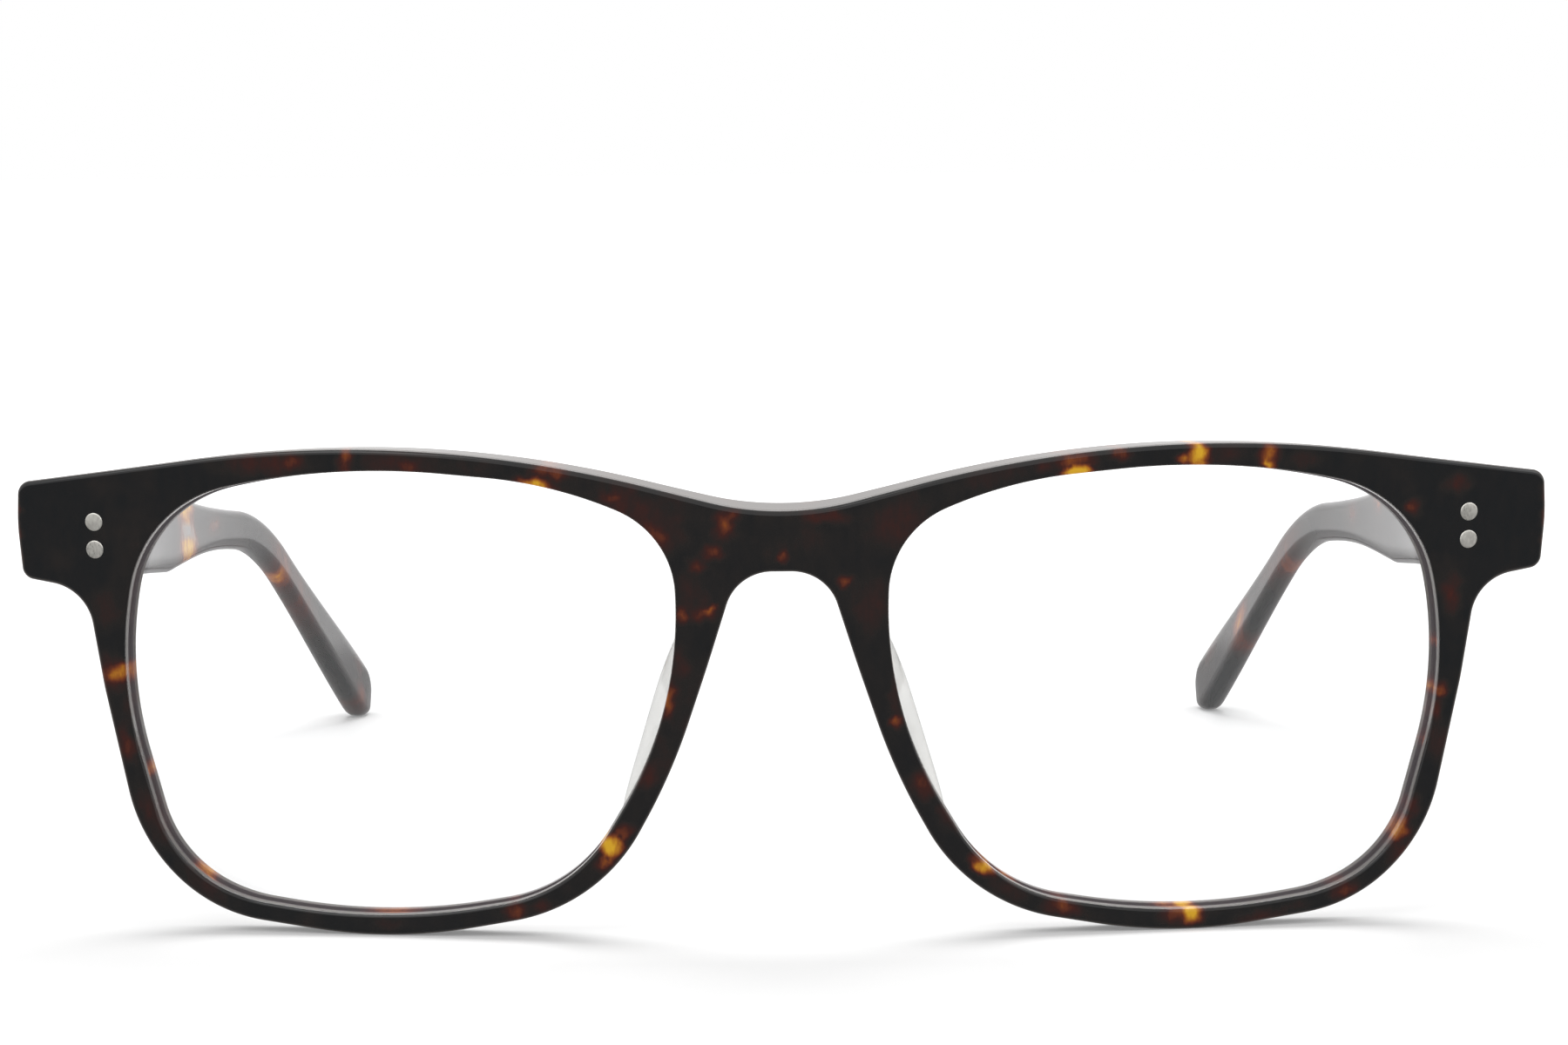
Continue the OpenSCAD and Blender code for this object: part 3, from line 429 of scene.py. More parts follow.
# The outer edge of one half: bridge, brow, endpiece, rim and nose side.
outerCorners = [
    (0, bridgeTop, 0), (fs["saddleW"] / 2, bridgeTop, 27), rimCorner(1, -0.8, 1.8, 110),
    rimCorner(2, 0.5, 2.2, 105), (endX - 0.2, endTop, 1.4),
    (endX, (endTop + endLow) / 2 + 0.5, 20), (endX - 0.4, endLow, 1.2),
    (lensOut + fs["rimSide"] + 0.5, endLow - 0.9, 4.4),
    rimCorner(4, 1.3, -1.5, 21), rimCorner(5, 3.0, 1.6, 15.5), rimCorner(6, 2.7, -1.5, 14.2),
    rimCorner(7, -0.8, -1.85, 47), rimCorner(8, -2.4, -1.3, 17.2), rimCorner(9, 0.9, -5.9, 58),
    rimCorner(9, -2.5, 4.2, 150), (fs["archW"] / 2, archTop, 4.4), (0, archTop, 0)]


def roundedPath(corners, closed):
    # A corner is cut back by r*tan(turn/2) and bridged by an arc of radius r, less where two
    # arcs would meet. Gives points x, z along the path with the outward normal.
    c = np.array(corners, float)
    p, r = c[:, :2], c[:, 2].copy()
    way = np.roll(p, -1, 0) - p
    back = np.roll(way, 1, 0)
    heading = np.arctan2(back[:, 1], back[:, 0])
    turn = (np.arctan2(way[:, 1], way[:, 0]) - heading + np.pi) % (2 * np.pi) - np.pi
    if not closed:
        turn[[0, -1]] = 0
    run = np.hypot(way[:, 0], way[:, 1])
    half = np.tan(np.abs(turn) / 2)
    cut = r * half
    share = np.minimum(run / np.maximum(0.001, cut + np.roll(cut, -1)),
                       np.roll(run, 1) / np.maximum(0.001, cut + np.roll(cut, 1)))
    r *= np.minimum(1, share)
    pieces = []
    for i in range(0 if closed else 1, len(p) if closed else len(p) - 1):
        h = heading[i] + turn[i] * np.linspace(0, 1, fs["arcSteps"])
        side = np.sign(turn[i]) * r[i]
        start = p[i] - r[i] * half[i] * np.array([np.cos(heading[i]), np.sin(heading[i])])
        middle = start + side * np.array([-np.sin(heading[i]), np.cos(heading[i])])
        pieces.append(np.stack([middle[0] + side * np.sin(h), middle[1] - side * np.cos(h),
                                -np.sin(h), np.cos(h)], 1))
    if not closed:
        pieces = [[(*p[0], 0, 1)]] + pieces + [[(*p[-1], 0, -1)]]
    return np.vstack(pieces)


def stations(path, closed):
    # Even steps of length / spacing + turn / turnStep, so tight corners get more points.
    q = np.vstack([path, path[:1]]) if closed else path
    d = np.diff(q, axis=0)
    weight = (np.hypot(d[:, 0], d[:, 1]) / fs["spacing"]
              + np.hypot(d[:, 2], d[:, 3]) / fs["turnStep"])
    w = np.concatenate([[0], np.cumsum(weight)])
    at = np.linspace(0, w[-1], int(math.ceil(w[-1])) + 1)
    at = at[:-1] if closed else at
    out = np.stack([np.interp(at, w, q[:, k]) for k in range(4)], 1)
    out[:, 2:] /= np.linalg.norm(out[:, 2:], axis=1)[:, None]
    return out


def depthAt(x):
    # Thickness of the sheet: a cosine rise over the bridge.
    reach = fs["bridgeW"] / 2 + fs["bridgeFade"]
    swell = (1 + np.cos(np.pi * np.minimum(1, np.abs(x) / reach))) / 2
    return fs["frontT"] + (fs["bridgeT"] - fs["frontT"]) * swell


def leaned(x, y, z):
    # Tips the upright front towards the viewer and seats it on the table.
    a = math.radians(fs["lean"])
    return np.stack([x, y * math.cos(a) - z * math.sin(a) + fs["centreY"],
                     y * math.sin(a) + z * math.cos(a) + fs["lift"]], -1)


def leanedWay(x, y, z):
    # A direction that leans with the front.
    return leaned(x, y, z) - leaned(0, 0, 0)


def sinkShare(x):
    # The share of its height that a point sinks for each mm of depth: tan(twist) / endTop at
    # the end, eased in from the middle.
    return math.tan(math.radians(fs["twist"])) * eased(np.abs(x), 0, endX) / endTop


def placed(x, z, t):
    # Lays a flat point x, z on the face curve at depth t: an arc of radius faceR - t across,
    # with the back sinking towards the upper outer corners.
    x, z, t = np.broadcast_arrays(np.asarray(x, float), z, t)
    a = np.arcsin(x / fs["faceR"])
    r = fs["faceR"] - t
    return leaned(r * np.sin(a), fs["faceR"] - r * np.cos(a), z * (1 - t * sinkShare(x)))


def flatOf(points):
    # The reverse of placed: x, z of the flat pattern and the depth t.
    a = math.radians(fs["lean"])
    y, z = points[:, 1] - fs["centreY"], points[:, 2] - fs["lift"]
    y, z = y * math.cos(a) + z * math.sin(a), z * math.cos(a) - y * math.sin(a)
    r = np.hypot(points[:, 0], fs["faceR"] - y)
    x, t = fs["faceR"] * points[:, 0] / r, fs["faceR"] - r
    return x, z / (1 - t * sinkShare(x)), t


def roundRows(radius, steps, ring):
    # Rows of an edge section: (distance in, depth, share of thickness), front half.
    a = np.linspace(0, np.pi / 2, steps + 1)
    rows = [(radius + ring, 0, 0)]
    rows += [(radius * (1 - np.sin(k)), radius * (1 - np.cos(k)), 0) for k in a]
    return rows + [(0, radius + ring / 2, 0)]


def mirroredRows(rows):
    # The same rows counted from the back.
    return [(d, -t, 1) for d, t, b in rows[::-1]]


def stripPoints(loop, rows, side, inset):
    # A section carried along an outline: side is 1 for an outer edge and -1 for an opening.
    rows = np.array(rows, float)
    base = loop[:, 0] - side * inset * loop[:, 2]
    thick = depthAt(base)[None, :]
    d = side * rows[:, :1]
    return placed(loop[None, :, 0] - d * loop[None, :, 2], loop[None, :, 1] - d * loop[None, :, 3],
                  rows[:, 1:2] + rows[:, 2:3] * thick)


def blocks(points, size):
    # Index blocks that keep the arrays of pairs small.
    return np.array_split(np.arange(len(points)), max(1, len(points) // size))


def insideOf(points, loop):
    # Even-odd rule: counts the loop's sides that a ray along +x crosses, in blocks.
    a, b = loop, np.roll(loop, -1, 0)
    inside = np.zeros(len(points), bool)
    for block in blocks(points, 2000):
        x, z = points[block, 0][:, None], points[block, 1][:, None]
        spans = (a[:, 1] > z) != (b[:, 1] > z)
        slope = (b[:, 0] - a[:, 0]) / np.where(b[:, 1] == a[:, 1], 1e-9, b[:, 1] - a[:, 1])
        inside[block] = (spans & (x < a[:, 0] + (z - a[:, 1]) * slope)).sum(1) % 2 == 1
    return inside


def clearOf(points, others, distance):
    # True for points that are further than distance from all the others, in blocks.
    keep = np.zeros(len(points), bool)
    for block in blocks(points, 1000):
        gap = np.square(points[block][:, None] - others[None]).sum(-1).min(1)
        keep[block] = gap > distance ** 2
    return keep


def patchTint(x, z, t, patches):
    # Each patch is a turned ellipse whose tint falls as exp(-d^k), d in its own radii: k runs
    # from 1.8 for the dim ones to 2.8 for the bright ones. Sines make its edge wander, depth
    # shifts it, one that lies deep fades in over 0.5 mm, and the strongest patch shows.
    wx = x + 0.15 * np.sin(2.7 * z + 0.9 * x) + 0.09 * np.sin(5.1 * z - 2.9 * x + 1.0) + 0.12 * t
    wz = z + 0.13 * np.sin(2.2 * x - 1.3 * z + 2.0) + 0.08 * np.sin(4.7 * x + 2.7 * z) - 0.08 * t
    tint = np.zeros_like(x)
    for px, pz, rx, rz, level, *more in patches:
        angle, fromDepth = (more + [0, 0])[:2]
        c, s = math.cos(math.radians(angle)), math.sin(math.radians(angle))
        u = ((wx - px) * c + (wz - pz) * s) / rx
        v = ((wz - pz) * c - (wx - px) * s) / rz
        fall = np.exp(-np.power(np.hypot(u, v), 1.8 + level))
        if fromDepth > 0:
            fall = fall * eased(t, fromDepth, fromDepth + 0.5)
        tint = np.maximum(tint, level * fall)
    return tint


# Amber and brown places of the front in flat millimetres: x, z, half width, half height, tint
# from 0 black to 1 yellow, and then a turn in degrees and the depth from which it shows. The
# thin strips at x = -71.5 and 71.5 paint a highlight down the endpieces' outer edges, which adds
# to the reflection on their rounded edge.
frontPatchesAndEdgeHighlight = [
    (0, 22, 66, 70, 0.06), (-71.5, 37.6, 0.55, 5.4, 0.42), (71.5, 37.6, 0.55, 5.4, 0.42),
    (-47.7, 44.3, 4.4, 1.3, 0.26), (-44.8, 44.5, 1.3, 1, 0.37), (-39.9, 45.4, 0.6, 0.9, 0.58),
    (-39.9, 44.3, 0.8, 1.1, 0.35), (-36.3, 44.5, 3.2, 1.1, 0.16), (-33.9, 44.2, 1, 0.7, 0.35),
    (-28.3, 44.3, 3.2, 1.1, 0.12), (-22.4, 42.6, 1.7, 0.7, 0.92, -8),
    (-21.3, 43.9, 1.7, 0.8, 0.5, -8), (-20, 44.2, 0.7, 0.5, 0.38),
    (-13.4, 40.4, 4.4, 2.1, 0.24, -32), (-11.5, 38.1, 1, 2.2, 0.38, 37),
    (-12.2, 38.4, 0.9, 2.4, 0.72, 37, 0.2), (-15.6, 41.5, 1.3, 0.7, 0.34, -20),
    (-5.2, 38.9, 1, 1.5, 0.5, -15), (-4.4, 39.7, 0.7, 0.8, 0.42), (-6.4, 36.4, 1, 0.9, 0.46),
    (0.1, 35.9, 0.6, 0.6, 0.45), (-0.6, 36.6, 1.6, 1.9, 0.12), (-9.3, 30.5, 0.7, 0.9, 0.5),
    (-7.3, 30.6, 1.6, 0.8, 0.35), (-6.5, 30.9, 0.5, 0.7, 0.58, -45),
    (-7.7, 35.1, 1.1, 0.8, 0.37), (-8.2, 32.7, 1.7, 2.2, 0.21), (-9.3, 26.2, 0.9, 1.9, 0.2),
    (-10.5, 22.5, 0.6, 1.5, 0.54, -12), (-12.4, 15.4, 0.9, 1.6, 0.25, -28),
    (-15.9, 8.8, 1.1, 1.1, 1), (-14.8, 10.1, 1.1, 0.7, 0.5, 30), (-16.6, 7.2, 1, 0.6, 0.46, 30),
    (-22.3, 2.8, 1.6, 0.8, 0.25, 10), (-24.9, 2.5, 1, 1, 0.46), (-36.6, 0.9, 2, 0.8, 0.18),
    (-36.5, 1.9, 2.9, 1.2, 0.6, 0, 0.5), (-59.3, 14.7, 1.6, 0.9, 0.64, 15, 0.5),
    (-54.3, 4.9, 1.6, 1.2, 0.7, -40, 0.5), (-61.2, 24, 1.4, 1, 0.7, 0, 0.5),
    (-62, 24.1, 1.1, 1.1, 0.8, 20), (-62.6, 24.1, 1.5, 1.6, 0.42, 10),
    (-62.9, 30.1, 1.8, 1.9, 0.2), (-61.4, 17.1, 1, 1.8, 0.35, 14), (-61, 21.4, 0.8, 1.5, 0.13),
    (-59.2, 10.7, 1.3, 3.4, 0.23, 24), (-53.9, 3.8, 3.2, 1.3, 0.17, -35),
    (4.2, 39.6, 2.4, 0.7, 0.31, -3), (2.6, 37.3, 2.4, 1.8, 0.13), (5.8, 33.6, 0.7, 0.7, 0.48),
    (8.1, 31.4, 1.9, 3.2, 0.21), (10.5, 39, 3.4, 2.7, 0.23, 30), (19.3, 43.1, 5, 1.3, 0.16, 14),
    (27, 43.4, 1.4, 0.55, 1, 4), (26.7, 44.5, 1.9, 0.8, 0.53, 4), (30.8, 45, 1, 0.7, 0.48),
    (24.1, 43.8, 1.1, 0.7, 0.27), (38.1, 44.9, 1.05, 1.5, 0.97), (38.2, 43.6, 1.1, 0.9, 0.7),
    (37, 44.3, 0.9, 0.45, 0.66), (41.2, 44.7, 2.1, 1, 0.15), (44.7, 44.4, 1, 1.7, 0.57),
    (44.8, 43.5, 0.7, 0.5, 0.84), (48, 43.9, 1.8, 1, 0.19), (62.6, 41.1, 1.3, 1, 0.26),
    (58.4, 39, 0.9, 0.8, 0.4, 20), (62.3, 30.6, 1, 1.8, 0.3), (61.4, 16.6, 1.4, 2.2, 0.22, 10),
    (44.8, 0.6, 3, 0.9, 0.24, 6), (61.4, 21.6, 0.8, 0.8, 0.63), (61, 19.7, 0.7, 1.3, 0.35),
    (57.4, 8.5, 1.1, 1.5, 0.8, -28), (58.7, 10.6, 1, 1, 0.33), (58, 6.2, 1.6, 1.1, 0.26, 35),
    (52.5, 2.9, 1.5, 0.7, 0.35, 20), (47.2, 1.4, 2.4, 0.7, 0.15, 10), (38, 1.5, 1.15, 1.3, 1),
    (36.2, 1.4, 1.3, 1, 0.46), (25.7, 2.5, 1.8, 1, 0.45, -12), (20.8, 4.3, 2.4, 1.1, 0.21, -28),
    (18.5, 6.5, 1.4, 0.7, 0.88, -32), (17.9, 7.1, 1.1, 0.7, 0.5, -30),
    (12.9, 14.5, 1.5, 1.5, 0.36), (15.4, 11.4, 1.3, 1.9, 0.24, 28),
    (10.5, 20.4, 0.7, 0.7, 0.54), (10.3, 22.8, 0.8, 3.2, 0.17),
    (61.2, 26.1, 1.4, 0.8, 0.56, 0, 0.5), (59.6, 16.9, 1.4, 1.1, 0.63, -15, 0.5),
    (36.5, 1.9, 2, 1.2, 0.64, 0, 0.5), (21, 5, 1.6, 1.2, 0.62, -30, 0.5)]


def seatLens(piece, loops):
    # The faces that the lens edges cover get a copy of the finish without gloss, whose painted
    # sheen lies evenly over them: a lighter tone in place of the light that shows on them through
    # the lens.
    piece.data.materials.append(seatedTortoisePaintedSheen)
    x, z, t = flatOf(readPoints(piece.data.polygons, "center"))
    held = np.where((t > fs["lensBack"]) & (t < lensRear))[0]
    spots = np.stack([x, z], 1)[held]
    near = ~clearOf(spots, np.vstack(loops), fs["seatReach"])
    marks = np.zeros(len(x), np.int32)
    marks[held[near]] = 1
    piece.data.polygons.foreach_set("material_index", marks)


def makeFront():
    # Edge strip and two lens openings carried along their outlines, joined by a triangulated
    # face and back that lie on the same curve.
    ring = fs["ring"]
    half = stations(roundedPath(outerCorners, False), False)
    contour = np.vstack([half, (half * (-1, 1, -1, 1))[-2:0:-1]])
    leftLoop = stations(roundedPath(lensCorners, True), True)
    loops = [leftLoop, (leftLoop * (-1, 1, -1, 1))[::-1]]
    edgeFront = roundRows(fs["edgeR"], fs["edgeSteps"], ring)
    edgeRows = edgeFront + [(0, fs["edgeR"] * (1 - 2 * f), f) for f in (0.25, 0.5, 0.75)]
    edgeRows += mirroredRows(edgeFront)
    lipFront = roundRows(fs["lipR"], fs["lipSteps"], ring)
    mouth = fs["grooveWide"] / 2
    lipRows = lipFront + [(0, t, 0) for t in (2 * fs["lipR"], fs["lensBack"], grooveT - mouth)]
    lipRows += [(fs["grooveDeep"], grooveT, 0), (0, grooveT + mouth, 0), (0, lensRear, 0)]
    lipRows += mirroredRows(lipFront)
    points, faces, base = [], [], 0
    for loop, rows, side, inset in [(contour, edgeRows, 1, fs["edgeR"] + ring)] + [
            (loop, lipRows, -1, fs["lipR"] + ring) for loop in loops]:
        strip = stripPoints(loop, rows, side, inset)
        points.append(strip.reshape(-1, 3))
        faces += gridFaces(len(rows), len(loop), base).tolist()
        base += strip.shape[0] * strip.shape[1]
    bounds = [contour[:, :2] - (fs["edgeR"] + ring) * contour[:, 2:]]
    bounds += [loop[:, :2] + (fs["lipR"] + ring) * loop[:, 2:] for loop in loops]

    def offLenses(spots):
        return ~insideOf(spots, bounds[1]) & ~insideOf(spots, bounds[2])

    step = fs["sheetStep"]
    gx, gz = np.meshgrid(np.arange(-endX, endX, step),
                         np.arange(0, fs["sheetHigh"], step * fs["rowShare"]))
    gx = gx + (np.arange(gx.shape[0]) % 2)[:, None] * step / 2
    inner = np.stack([gx.ravel(), gz.ravel()], 1)
    inner = inner[insideOf(inner, bounds[0]) & offLenses(inner)]
    inner = inner[clearOf(inner, np.vstack(bounds), step * fs["clearShare"])]
    flat = np.vstack(bounds + [inner])
    links, start = [], 0
    for bound in bounds:
        k = np.arange(len(bound))
        links += np.stack([start + k, start + (k + 1) % len(bound)], 1).tolist()
        start += len(bound)
    sheet = delaunay_2d_cdt(flat.tolist(), links, [], 1, 1e-6)
    flat, triangles = np.array([(v[0], v[1]) for v in sheet[0]]), np.array(sheet[2])
    triangles = triangles[offLenses(flat[triangles].mean(1))]
    for depth in (0 * flat[:, 0], depthAt(flat[:, 0])):
        points.append(placed(flat[:, 0], flat[:, 1], depth))
        faces += (triangles + base).tolist()
        base += len(flat)
    piece = makePiece("frontSheet", np.vstack(points), faces)
    x, z, t = flatOf(readPoints(piece.data.vertices, "co"))
    # The tint holds the amber places and the painted highlight down the endpieces' outer edges.
    setMark(piece.data, "tint", patchTint(x, z, t, frontPatchesAndEdgeHighlight))
    settle(piece, "front", ["front_frame"], tortoise)
    seatLens(piece, [loop[:, :2] for loop in loops])
    print("front:", len(piece.data.polygons), "faces")
    return half, leftLoop


outerHalf, lensLoop = makeFront()


# The lenses.

lensShape = {"overlap": 0.12, "bevelDeep": 0.6, "bevelHalf": 0.8, "rings": 14, "sharp": 30}


def makeLens(side, name):
    # Rings shrink from the outline to the middle on both faces, and a V edge joins them. The
    # edge overlaps the groove a little, so that no bright slit shows between them.
    loop = lensLoop * (side, 1, side, 1)
    fall = np.linspace(0, 1, lensShape["rings"] + 1)[1:]
    rows = [(f, 0.0, fs["lensBack"]) for f in fall]
    rows += [(1, 0, grooveT - lensShape["bevelHalf"]), (1, lensShape["bevelDeep"], grooveT),
             (1, 0, grooveT + lensShape["bevelHalf"])]
    rows += [(f, 0.0, lensRear) for f in fall[::-1]]
    rows = np.array(rows)
    out = (rows[:, 1] + lensShape["overlap"])[:, None]
    x = loop[None, :, 0] + out * loop[None, :, 2]
    z = loop[None, :, 1] + out * loop[None, :, 3]
    f = rows[:, :1]
    rings = placed(side * lensX + f * (x - side * lensX), lensZ + f * (z - lensZ), rows[:, 2:3])
    poles = placed(np.full(2, side * lensX), lensZ, np.array([fs["lensBack"], lensRear]))
    piece = closedGrid("lens" + name, rings, poles, angle=lensShape["sharp"])
    settle(piece, "front", ["lens_" + name.lower()], lensClear)


# The nose pads.

padShape = {
    "drop": 4.4, "length": 20.8, "deep": 5.6, "flare": 3.6, "thick": 1.7, "bond": 0.05,
    "taper": 0.26, "tipDeep": 0.22, "deepPower": 0.6, "tipFlare": 0.2, "flarePower": 0.3,
    "endRound": 0.55, "endClose": 0.3, "endSkip": 0.04, "noseIn": 12.0, "noseLow": 4.0,
    "rings": 70, "around": 44, "sharp": 60,
}

# The section's corners: shares of the flare and the thickness, mm more, share of the depth.
padSection = np.array([
    (0, 0, 0.25, 0), (0, 1, 0.25, 0), (0.45, 0.95, 0, 0.36), (0.8, 0.75, 0, 0.7),
    (1, 0.35, 0, 0.93), (1, 0, 0, 1), (1, -0.3, 0, 0.93), (0.62, -0.1, 0, 0.7),
    (0.3, 0, 0.05, 0.4), (0.08, 0, 0.22, 0.14)])


def smoothLoop(values, count):
    # Closed curve through each row's values: Catmull-Rom cubics between neighbours.
    n = values.shape[1]
    at = np.arange(count) * n / count
    i, f = at.astype(int), at - at.astype(int)
    a, b, c, d = (values[:, (i + k) % n] for k in (-1, 0, 1, 2))
    return b + 0.5 * f * (c - a + f * (2 * a - 5 * b + 4 * c - d + f * (3 * (b - c) + d - a)))


def makePad(side, name):
    # A leaf shaped section, sized by powers of a sine of the place along the pad, is carried
    # down the nose side of the rim and closed by rounded ends.
    ps = padShape
    nose = outerHalf[(outerHalf[:, 0] < lensX - ps["noseIn"]) & (outerHalf[:, 1] < archTop - 1)
                     & (outerHalf[:, 1] > ps["noseLow"])]
    nose = nose[np.argsort(nose[:, 1])]

    def noseX(z):
        return np.interp(z, nose[:, 1], nose[:, 0])

    u = (1 - np.cos(np.linspace(ps["endSkip"], np.pi - ps["endSkip"], ps["rings"]))) / 2
    z = archTop - ps["drop"] - ps["length"] * u
    swell = np.sin(np.pi * u)
    f = ps["tipDeep"] + (1 - ps["tipDeep"]) * swell ** ps["deepPower"]
    wide = ps["tipFlare"] + (1 - ps["tipFlare"]) * swell ** ps["flarePower"]
    x = noseX(z)
    slant = np.arctan2(noseX(z - 1) - noseX(z + 1), 2)
    w = (ps["flare"] * (1 - ps["taper"] * u) * wide)[:, None]
    t = (ps["thick"] * (1 + f) / 2)[:, None]
    wShare, tShare, more, deepShare = padSection.T
    across = smoothLoop(w * wShare + t * tShare + more, ps["around"])
    deep = smoothLoop((ps["deep"] * f)[:, None] * deepShare, ps["around"])
    run = ps["length"] * np.minimum(u, 1 - u)
    close = np.sqrt(1 - np.square(1 - np.minimum(1, run / ps["endRound"])))[:, None]
    close = ps["endClose"] + (1 - ps["endClose"]) * close
    midA, midD = across.mean(1, keepdims=True), deep.mean(1, keepdims=True)
    across, deep = midA + close * (across - midA), midD + close * (deep - midD)
    px = x[:, None] + across * np.cos(slant)[:, None]
    pz = z[:, None] + across * np.sin(slant)[:, None]
    rings = placed(side * px, pz, depthAt(x)[:, None] + ps["bond"] + np.maximum(deep, 0))
    piece = closedGrid("nosePad" + name, rings, endPoles(rings), angle=ps["sharp"])
    settle(piece, "front", ["nose_pad_" + name.lower()], padClear)


for side, name in sides:
    makeLens(side, name)
    makePad(side, name)
print("lenses and nose pads made")


# The temples.

templeShape = {
    "set": 3.05, "startY": 9.9197, "startZ": 37.5529, "length": 138.22, "slope": 6.4,
    "shaft": 90.0, "bendR": 27.5, "bend": 32.0, "leanIn": 0.014, "bow": 0.0018, "bowFrom": 45.0,
    "bowTo": 102.0, "archFrom": 61.5, "archLen": 40.0, "archUp": 0.25,
    "high": 9.4, "highFall": 0.5, "fallFrom": 10.0, "taper": 58.5, "waist": 4.5,
    "waistAt": 89.0, "paddle": 7.2, "paddleFlat": 2.0,
    "thick": 4.0, "shaftT": 2.9, "thinSpan": (8, 55), "bendThin": 0.2, "bendSpan": (60, 90),
    "tailThick": 0.3, "tailLen": 30.0, "tipPower": 0.45,
    "cornerR": 0.7, "cornerMore": 0.75, "cornerSpan": (30, 100), "cornerMost": 0.46,
    "gap": 0.12, "buttRound": 0.3, "buttBlend": 6.0, "wireT": 1.28, "wireH": 1.88, "wireR": 0.49,
    "wireDeep": 1.2, "wireSeen": (0.75, 1.15), "wireEnd": (80, 92),
    "firstSteps": (0.6, 1.2, 2.4, 4.0), "step": 0.9, "buttSteps": 5,
    "tipTurns": (4, 9, 16, 24, 33, 42, 51, 60, 68, 75, 81, 86),
    "cornerSteps": 7, "sideSteps": 6, "sharp": 38,
}
ts = templeShape
templeX = endX - ts["set"]
bendLen = math.radians(ts["bend"]) * ts["bendR"]


def templeMiddle(s):
    # Middle line: straight down the slope, an arc of bendR round the ear, then straight. It
    # leans in by leanIn*s, bows in by bow*(s - bowFrom)^2 up to bowTo and runs on straight,
    # and rises over a cosine arch before the ear bend.
    s = np.asarray(s, float)
    slope = math.radians(ts["slope"])
    b = np.clip(s, ts["bowFrom"], ts["bowTo"]) - ts["bowFrom"]
    run = 2 * (ts["bowTo"] - ts["bowFrom"]) * np.maximum(0, s - ts["bowTo"])
    x = templeX - ts["leanIn"] * s - ts["bow"] * (b * b + run)
    u = np.clip((s - ts["archFrom"]) / ts["archLen"], 0, 1)
    straight = np.minimum(s, ts["shaft"])
    turn = np.clip((s - ts["shaft"]) / ts["bendR"], 0, math.radians(ts["bend"]))
    rest = np.maximum(0, s - ts["shaft"] - bendLen)
    a = slope + turn
    y = (ts["startY"] + straight * math.cos(slope)
         + ts["bendR"] * (np.sin(a) - math.sin(slope)) + rest * np.cos(a))
    z = (ts["startZ"] - straight * math.sin(slope)
         - ts["bendR"] * (math.cos(slope) - np.cos(a)) - rest * np.sin(a)
         + ts["archUp"] * (1 - np.cos(2 * np.pi * u)) / 2)
    return x, y, z, a


def templeHigh(s):
    # Full at the hinge, a sine fall from the kink to the waist, and a rise to the paddle.
    fall = np.sin(np.pi / 2 * np.clip((s - ts["taper"]) / (ts["waistAt"] - ts["taper"]), 0, 1))
    rise = eased(s, ts["shaft"] + bendLen, ts["length"] - ts["paddleFlat"])
    return (ts["high"] - ts["highFall"] * eased(s, ts["fallFrom"], ts["taper"])
            - (ts["high"] - ts["highFall"] - ts["waist"]) * fall
            + (ts["paddle"] - ts["waist"]) * rise)


def templeThick(s):
    # Eased falls from the hinge to the shaft and the bend, and an eased rise in the tail.
    return (ts["thick"] - (ts["thick"] - ts["shaftT"]) * eased(s, *ts["thinSpan"])
            - ts["bendThin"] * eased(s, *ts["bendSpan"])
            + ts["tailThick"] * eased(s, ts["length"] - ts["tailLen"], ts["length"]))


def sectionTemplate(cornerSteps, sideSteps):
    # Rounded rectangle as signs and arc parts: a point is sign*(size/2 - r) + r*part.
    rows = []
    signs = [(1, 1), (-1, 1), (-1, -1), (1, -1)]
    for q in range(4):
        a = math.pi / 2 * q + np.linspace(0, np.pi / 2, cornerSteps)
        (sx, sz), (tx, tz) = signs[q], signs[(q + 1) % 4]
        rows += [(sx, sz, math.cos(k), math.sin(k)) for k in a]
        rows += [(sx + (tx - sx) * f, sz + (tz - sz) * f, math.cos(a[-1]), math.sin(a[-1]))
                 for f in np.linspace(0, 1, sideSteps + 2)[1:-1]]
    return np.array(rows)


def buttY(x, z):
    # The plane that the temple's end lies in, gap behind the back of the endpiece.
    r = fs["faceR"] - fs["frontT"]
    turn = math.asin(templeX / r)
    point = leaned(templeX, fs["faceR"] - r * math.cos(turn), rivetZ)
    normal = leanedWay(-math.sin(turn), math.cos(turn), 0)
    rise = normal[0] * (x - point[0]) + normal[2] * (z - point[2])
    return point[1] + (ts["gap"] - rise) / normal[1]


# Amber places of a temple: distance from the hinge, height over the middle, half length,
# half height, tint and turn.
templePatches = {
    "Right": [(64.6, 2.6, 4.4, 2.1, 0.92), (66, -2, 4.4, 2.2, 0.95),
              (65.4, 0.3, 3.6, 3.8, 0.72), (77.5, 0.1, 3.2, 1.1, 0.42, 8),
              (104.4, -2.3, 1.9, 1.6, 0.68, -20), (104, -0.8, 5, 3.4, 0.44, -20),
              (111, -1, 6.5, 2.6, 0.33, -12), (133.5, -2.2, 2.2, 2, 0.46),
              (132, 1.5, 2, 1.5, 0.3), (24, 1.5, 2.6, 2.2, 0.8, 30), (12, -2.4, 1.6, 1.2, 0.44),
              (40, -1.5, 3.4, 1.6, 0.34, 15)],
    "Left": [(64.5, 2.4, 2.6, 1.6, 0.56), (76, 0.6, 2.6, 1.6, 0.4),
             (103.4, -2.2, 3.2, 1.8, 0.46, 10), (103, -0.4, 7, 2.8, 0.34),
             (119.3, -0.4, 3.2, 1.8, 0.66, -15), (121, -2.4, 2.6, 2.4, 0.38),
             (131, 1.6, 3, 2, 0.26), (38, -1.2, 3, 2.6, 0.84, -25),
             (18, 2.2, 1.8, 1.4, 0.55, 15)],
}


